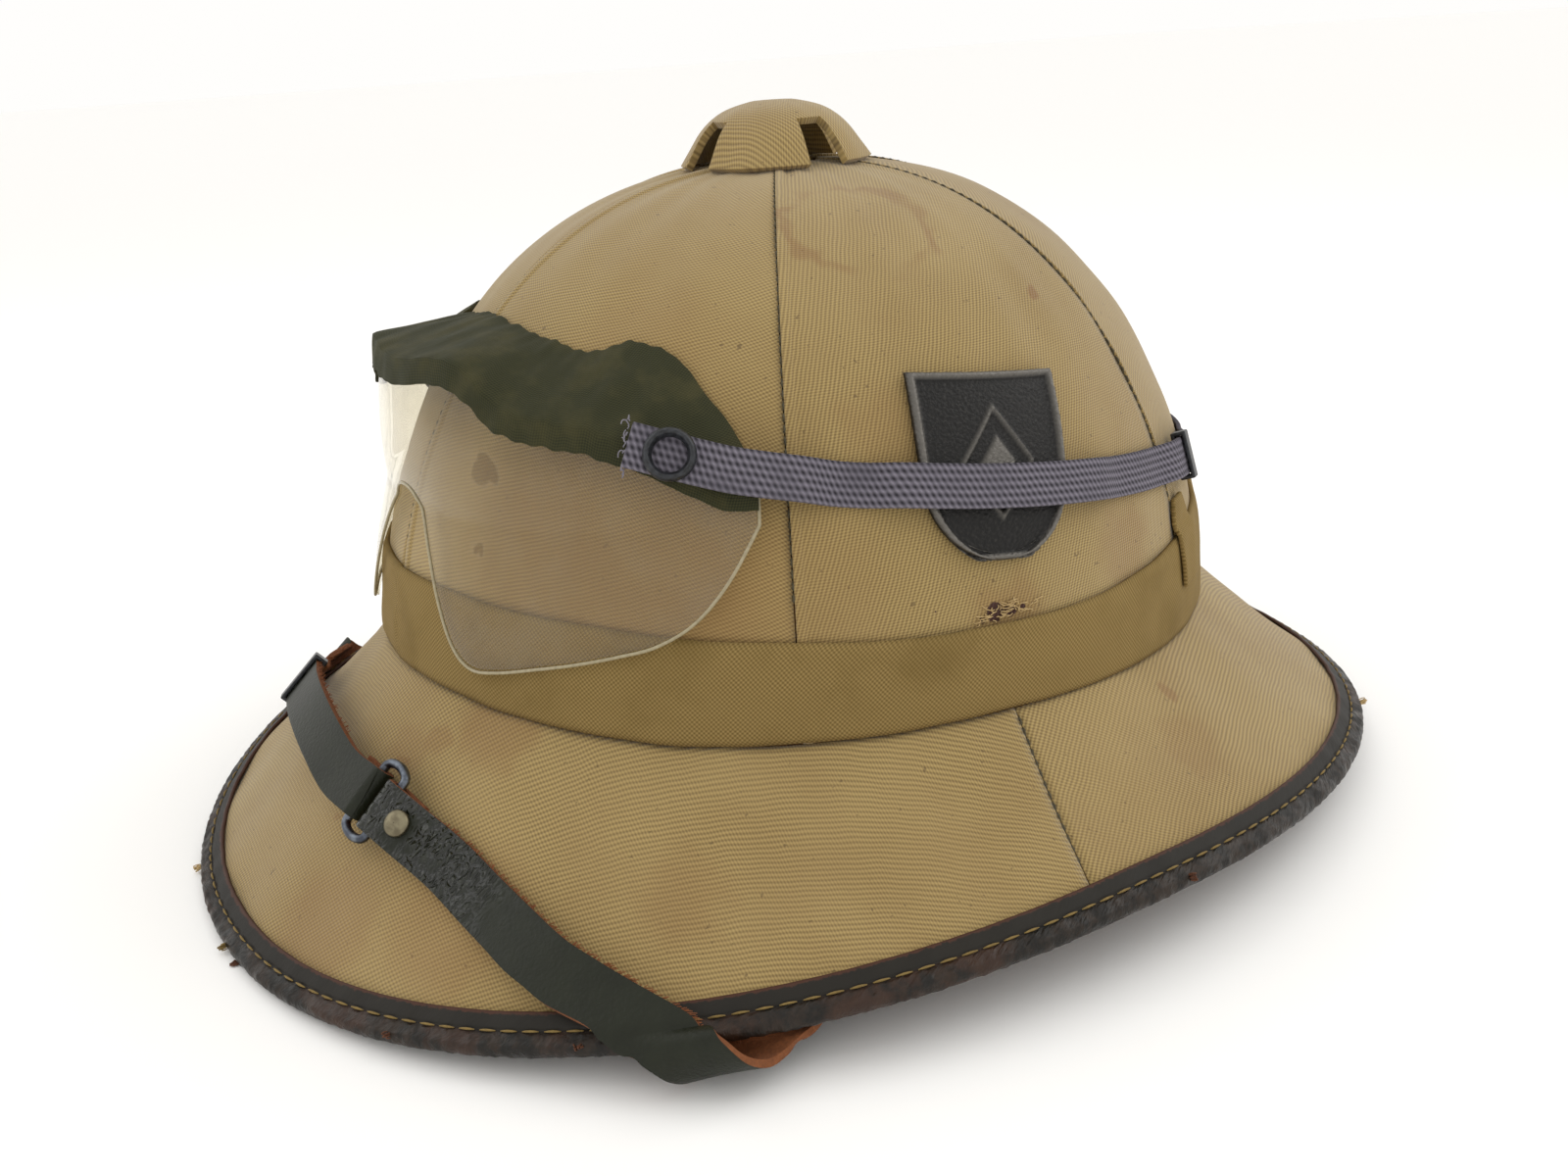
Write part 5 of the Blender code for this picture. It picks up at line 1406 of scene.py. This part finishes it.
SNAP_PROFILE = ((0.0037, -0.0004), (0.0038, 0.0006), (0.0042, 0.0009), (0.0043, 0.0014), (0.0048, 0.0017),
                (0.0053, 0.0013), (0.0057, 0.0005), (0.0057, 0.0000), (0.0050, -0.0004))
for side, sign in (("left", 1.0), ("right", -1.0)):
    turn = sign * (SNAP_ANGLE - GOGGLE_ANGLE)
    offset = web_seat(turn) + WEB_WALL + SNAP_GAP
    centre, normal = crown_point(GOGGLE_ANGLE + turn, web_height(turn), offset)
    along = web_direction(turn)
    normal = unit(normal - along * (normal @ along))
    turned(f"snap_ring_{side}", centre, normal, SNAP_PROFILE, black_lacquer, "black_metal",
           [f"goggle_snap_{side}"])
place = SLIDE_ANGLE - GOGGLE_ANGLE
centre, normal = crown_point(SLIDE_ANGLE, web_height(place), web_seat(place) + WEB_WALL / 2)
frame_loop("webbing_slide", centre, normal, web_direction(place), (WEB_WIDTH + 2 * GAP, WEB_WALL + 2 * GAP),
           SLIDE_LENGTH, SLIDE_WALL, black_lacquer, ["goggle_slide"])
print("snaps: 2")

# %% [markdown]
# ## Chin strap
#
# The strap has two parts, each folded round a bar of a wire ring, and runs over the front of the brim,
# down round the rim and back up inside. It is one strip of leather: painted outside, suede on its back
# and edges. The left part was bent so often that its paint has crackled.

# %% Straps
STRAP_WIDTH, STRAP_WALL, STRAP_LIE, STRAP_LOOSE, STRAP_TAIL = 0.0125, 0.0016, 0.0016, 0.0030, 0.0090
RING_ANGLE, RING_SHARE, RING_WIRE, RING_SPACING, RING_EASE = 14.5, 0.405, 0.0011, 0.0088, 0.0010
RIVET_SETBACK, STRAP_CROSSING = 0.0070, 38.0
# angle, share of the brim, height over the canvas, turn of the cross lines
STRAP_LEFT_TOP = (
    (20.5, 0.445, 0.0036, 0.0),
    (26.5, 0.500, 0.0008, 0.0),
    (32.1, 0.582, 0.0006, 0.0),
    (36.5, 0.660, 0.0020, 0.1),
    (40.0, 0.735, 0.0032, 0.4),
    (43.0, 0.795, 0.0036, 0.6),
    (46.0, 0.860, 0.0036, 0.8),
    (50.3, 0.955, 0.0035, 1.0),
)
STRAP_RIGHT_TOP = (
    (7.5, 0.385, 0.0058, 0.0),
    (1.0, 0.350, 0.0066, 0.0),
    (-6.0, 0.335, 0.0072, 0.0),
    (-13.0, 0.345, 0.0076, 0.0),
    (-19.0, 0.370, 0.0074, 0.0),
    (-25.0, 0.440, 0.0058, 0.0),
    (-31.0, 0.545, 0.0034, 0.0),
    (-36.5, 0.660, 0.0026, 0.1),
    (-40.0, 0.735, 0.0032, 0.4),
    (-43.0, 0.795, 0.0036, 0.6),
    (-46.0, 0.860, 0.0036, 0.8),
    (-50.3, 0.955, 0.0035, 1.0),
)
STRAP_TURN_START, STRAP_TURN_END, STRAP_TURN_STEPS = 51.5, 59.5, 6
# angle, share of the brim, depth under the cork, turn of the cross lines
STRAP_BELOW = (
    (61.5, 0.900, 0.0034, 0.8),
    (64.0, 0.800, 0.0032, 0.5),
    (67.5, 0.660, 0.0022, 0.2),
    (71.5, 0.500, 0.0013, 0.0),
    (76.0, 0.330, 0.0013, 0.0),
    (79.5, 0.240, 0.0013, 0.0),
    (81.5, 0.180, 0.0013, 0.0),
)
FAR_FROM_CRACKS = 1.0
FUZZ_HAIRS, FUZZ_RADIUS, FUZZ_REACH, FUZZ_LEAN = 240, 0.00009, (0.0003, 0.0011), 0.0007


def ring_place():
    """Centre of the ring, the direction out of the brim and the direction along the strap."""
    lift = STRAP_LIE + STRAP_WALL + GAP + RING_WIRE
    centre, normal = brim_point(RING_ANGLE, RING_SHARE, lift)
    left = brim_point(*STRAP_LEFT_TOP[0][:2])[0]
    right = brim_point(*STRAP_RIGHT_TOP[0][:2])[0]
    along = left - right
    return centre, normal, unit(along - normal * (along @ normal))


def fold_round_ring(sign):
    """The strap's end goes over its bar of the ring, turns and comes back under itself."""
    centre, normal, along = ring_place()
    bar = centre + along * sign * RING_SPACING / 2
    radius = RING_WIRE + GAP
    path = [(bar + along * sign * STRAP_TAIL - normal * radius, -normal),
            (bar + along * sign * STRAP_TAIL / 2 - normal * radius, -normal)]
    for turn in np.linspace(-90.0, 90.0, 7):
        direction = normal * math.sin(math.radians(turn)) - along * sign * math.cos(math.radians(turn))
        path.append((bar + direction * radius, direction))
    return path


def strap_path(sign, top):
    """Points, directions and skews of a strap's inner face, from the ring to its hidden end."""
    path = [(point, normal, 0.0) for point, normal in fold_round_ring(sign)]
    level = sign / math.tan(math.radians(STRAP_CROSSING))
    path += [(*brim_point(angle, share, lift), level * turned) for angle, share, lift, turned in top]
    for step in range(STRAP_TURN_STEPS + 1):
        share = step / STRAP_TURN_STEPS
        angle = STRAP_TURN_START + (STRAP_TURN_END - STRAP_TURN_START) * share
        lift = STRAP_LIE + STRAP_LOOSE * math.sin(math.pi * share)
        path.append((*rim_point(sign * angle, 90.0 - 180.0 * share, ROLL_RADIUS + lift), level))
    for angle, share, depth, turned_by in STRAP_BELOW:
        point, normal = brim_point(sign * angle, share, -brim_depth(share) - depth)
        path.append((point, -normal, level * turned_by))
    return path


for side, sign, top in (("left", 1.0, STRAP_LEFT_TOP), ("right", -1.0, STRAP_RIGHT_TOP)):
    points, normals, skews = (np.array(column) for column in zip(*strap_path(sign, top)))
    strap = ribbon(f"leather_strap_{side}", points, normals, STRAP_WIDTH, STRAP_WALL, skews, 17,
                   start=-STRAP_TAIL - 0.001 if sign > 0 else FAR_FROM_CRACKS, back=1)
    strap.data.materials.append(painted_leather)
    strap.data.materials.append(suede)
    round_edges(strap, 0.0004)
    finish_piece(strap, None, [f"chin_strap_{side}"])
    length = float(np.sum(np.linalg.norm(np.diff(points, axis=0), axis=1)))
    along = unit(np.gradient(points, axis=0))
    across = unit(np.cross(normals, along)) + along * skews[:, None]
    # the side of the strap that lies nearer the crown
    inward = -1.0 if (across[12] @ -unit(points[12] - (0.0, CROWN_SETBACK, points[12][2]))) < 0 else 1.0
    draw = np.random.default_rng(220)
    hairs = []
    for spot in draw.uniform(9.5, len(top) + 9.0, FUZZ_HAIRS):
        centre, sideways, out, ahead = (looked_up(spot, np.arange(len(points)), table)
                                        for table in (points, across * inward, normals, along))
        out = unit(out)
        root = centre + sideways * (STRAP_WIDTH / 2 - 0.0001) + out * STRAP_WALL * draw.uniform(0.0, 0.8)
        lean = ahead * draw.uniform(-FUZZ_LEAN, FUZZ_LEAN) + out * draw.uniform(-0.0005, 0.0001)
        tip = root + sideways * draw.uniform(*FUZZ_REACH) + lean
        hairs.append([root, (root + tip) / 2 + out * 0.0001, tip])
    wire(f"suede_fuzz_{side}", hairs, FUZZ_RADIUS, suede_fibre)
    print("strap", side, "in millimetres:", round(length * MILLIMETRES))

# %% Ring, rivet and slide
RIVET_PROFILE = ((0.0031, -0.0003), (0.0031, 0.0003), (0.0029, 0.0006), (0.0024, 0.0009), (0.0016, 0.0011),
                 (0.0008, 0.0012), (0.0001, 0.00125))
BUCKLE_ANGLE, BUCKLE_LENGTH, BUCKLE_WALL, BUCKLE_CLEARANCE = -19.0, 0.0060, 0.0010, 0.0002
RING_END = 0.0021

centre, normal, along = ring_place()
across = np.cross(normal, along)
straight = STRAP_WIDTH / 2 + RING_EASE
path = []
for end in (1.0, -1.0):
    for turn in np.linspace(0.0, math.pi, 17):
        reach = end * (straight + RING_END * math.sin(turn))
        path.append(centre + across * reach + along * end * RING_SPACING / 2 * math.cos(turn))
wire("wire_ring", [path], RING_WIRE, grey_steel, ["strap_ring"], cyclic=True)

folded = fold_round_ring(1.0)[-1][0]
ahead = brim_point(*STRAP_LEFT_TOP[0][:3])[0]
along = unit(ahead - folded)
normal = unit(normal - along * (normal @ along))
seat = folded + along * RIVET_SETBACK + normal * (STRAP_WALL + GAP)
turned("rivet_dome", seat, normal, RIVET_PROFILE, old_brass, "worn_brass", ["strap_rivet"])


def buckle_place(angle):
    table = np.array(STRAP_RIGHT_TOP)[::-1]
    share, lift, _ = looked_up(angle, table[:, 0], table[:, 1:])
    return brim_point(angle, share, lift + STRAP_WALL / 2)


centre, normal = buckle_place(BUCKLE_ANGLE)
along = unit(buckle_place(BUCKLE_ANGLE + 1.0)[0] - buckle_place(BUCKLE_ANGLE - 1.0)[0])
normal = unit(normal - along * (normal @ along))
inside = (STRAP_WIDTH + 2 * BUCKLE_CLEARANCE, STRAP_WALL + 2 * BUCKLE_CLEARANCE)
frame_loop("strap_buckle", centre, normal, along, inside, BUCKLE_LENGTH, BUCKLE_WALL, black_lacquer,
           ["strap_slide"])
for side in ("left", "right"):
    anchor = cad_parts[f"strap_anchor_{side}"]
    anchor.data.materials.clear()
    anchor.data.materials.append(old_brass)
print("metal parts placed")

# %% [markdown]
# ## Floor and light
#
# The photograph has a plain white ground and soft light from all sides, strongest from above and in
# front. Two large area lights and a pale world give that.

# %% Floor and lights
FLOOR_SIZE = 60.0
floor_material = start_material("white_paper", 0.9)
shader.inputs["Base Color"].default_value = linear("#FFFEFC")
bpy.ops.mesh.primitive_plane_add(size=FLOOR_SIZE, location=(0.0, 0.0, 0.0))
floor = bpy.context.object
floor.name = "floor"
floor.data.materials.append(floor_material)

world = bpy.data.worlds.new("studio")
bpy.context.scene.world = world
world.use_nodes = True
world.node_tree.nodes["Background"].inputs["Color"].default_value = linear("#FFFEFC")
world.node_tree.nodes["Background"].inputs["Strength"].default_value = 1.0


HELMET_MIDDLE = Vector((0.0, 0.0, 0.06))


def area_light(name, azimuth, elevation, distance, size, watts):
    """A square light that looks at the helmet. Its azimuth counts from the front to the left."""
    turn, rise = math.radians(azimuth), math.radians(elevation)
    away = Vector((math.sin(turn) * math.cos(rise), -math.cos(turn) * math.cos(rise), math.sin(rise)))
    data = bpy.data.lights.new(name, "AREA")
    data.size = size
    data.energy = watts
    light = bpy.data.objects.new(name, data)
    light.matrix_world = (Matrix.Translation(away * distance + HELMET_MIDDLE)
                          @ away.to_track_quat("Z", "Y").to_matrix().to_4x4())
    bpy.context.scene.collection.objects.link(light)


area_light("right", 150.0, 42.0, 1.1, 0.8, 2.6)
area_light("left", -35.0, 38.0, 1.1, 0.8, 1.6)
# light caught between the clear sheet and the canvas would only make noise
bpy.context.scene.cycles.caustics_reflective = False
bpy.context.scene.view_settings.view_transform = "Standard"
print("lights:", len(bpy.data.lights))
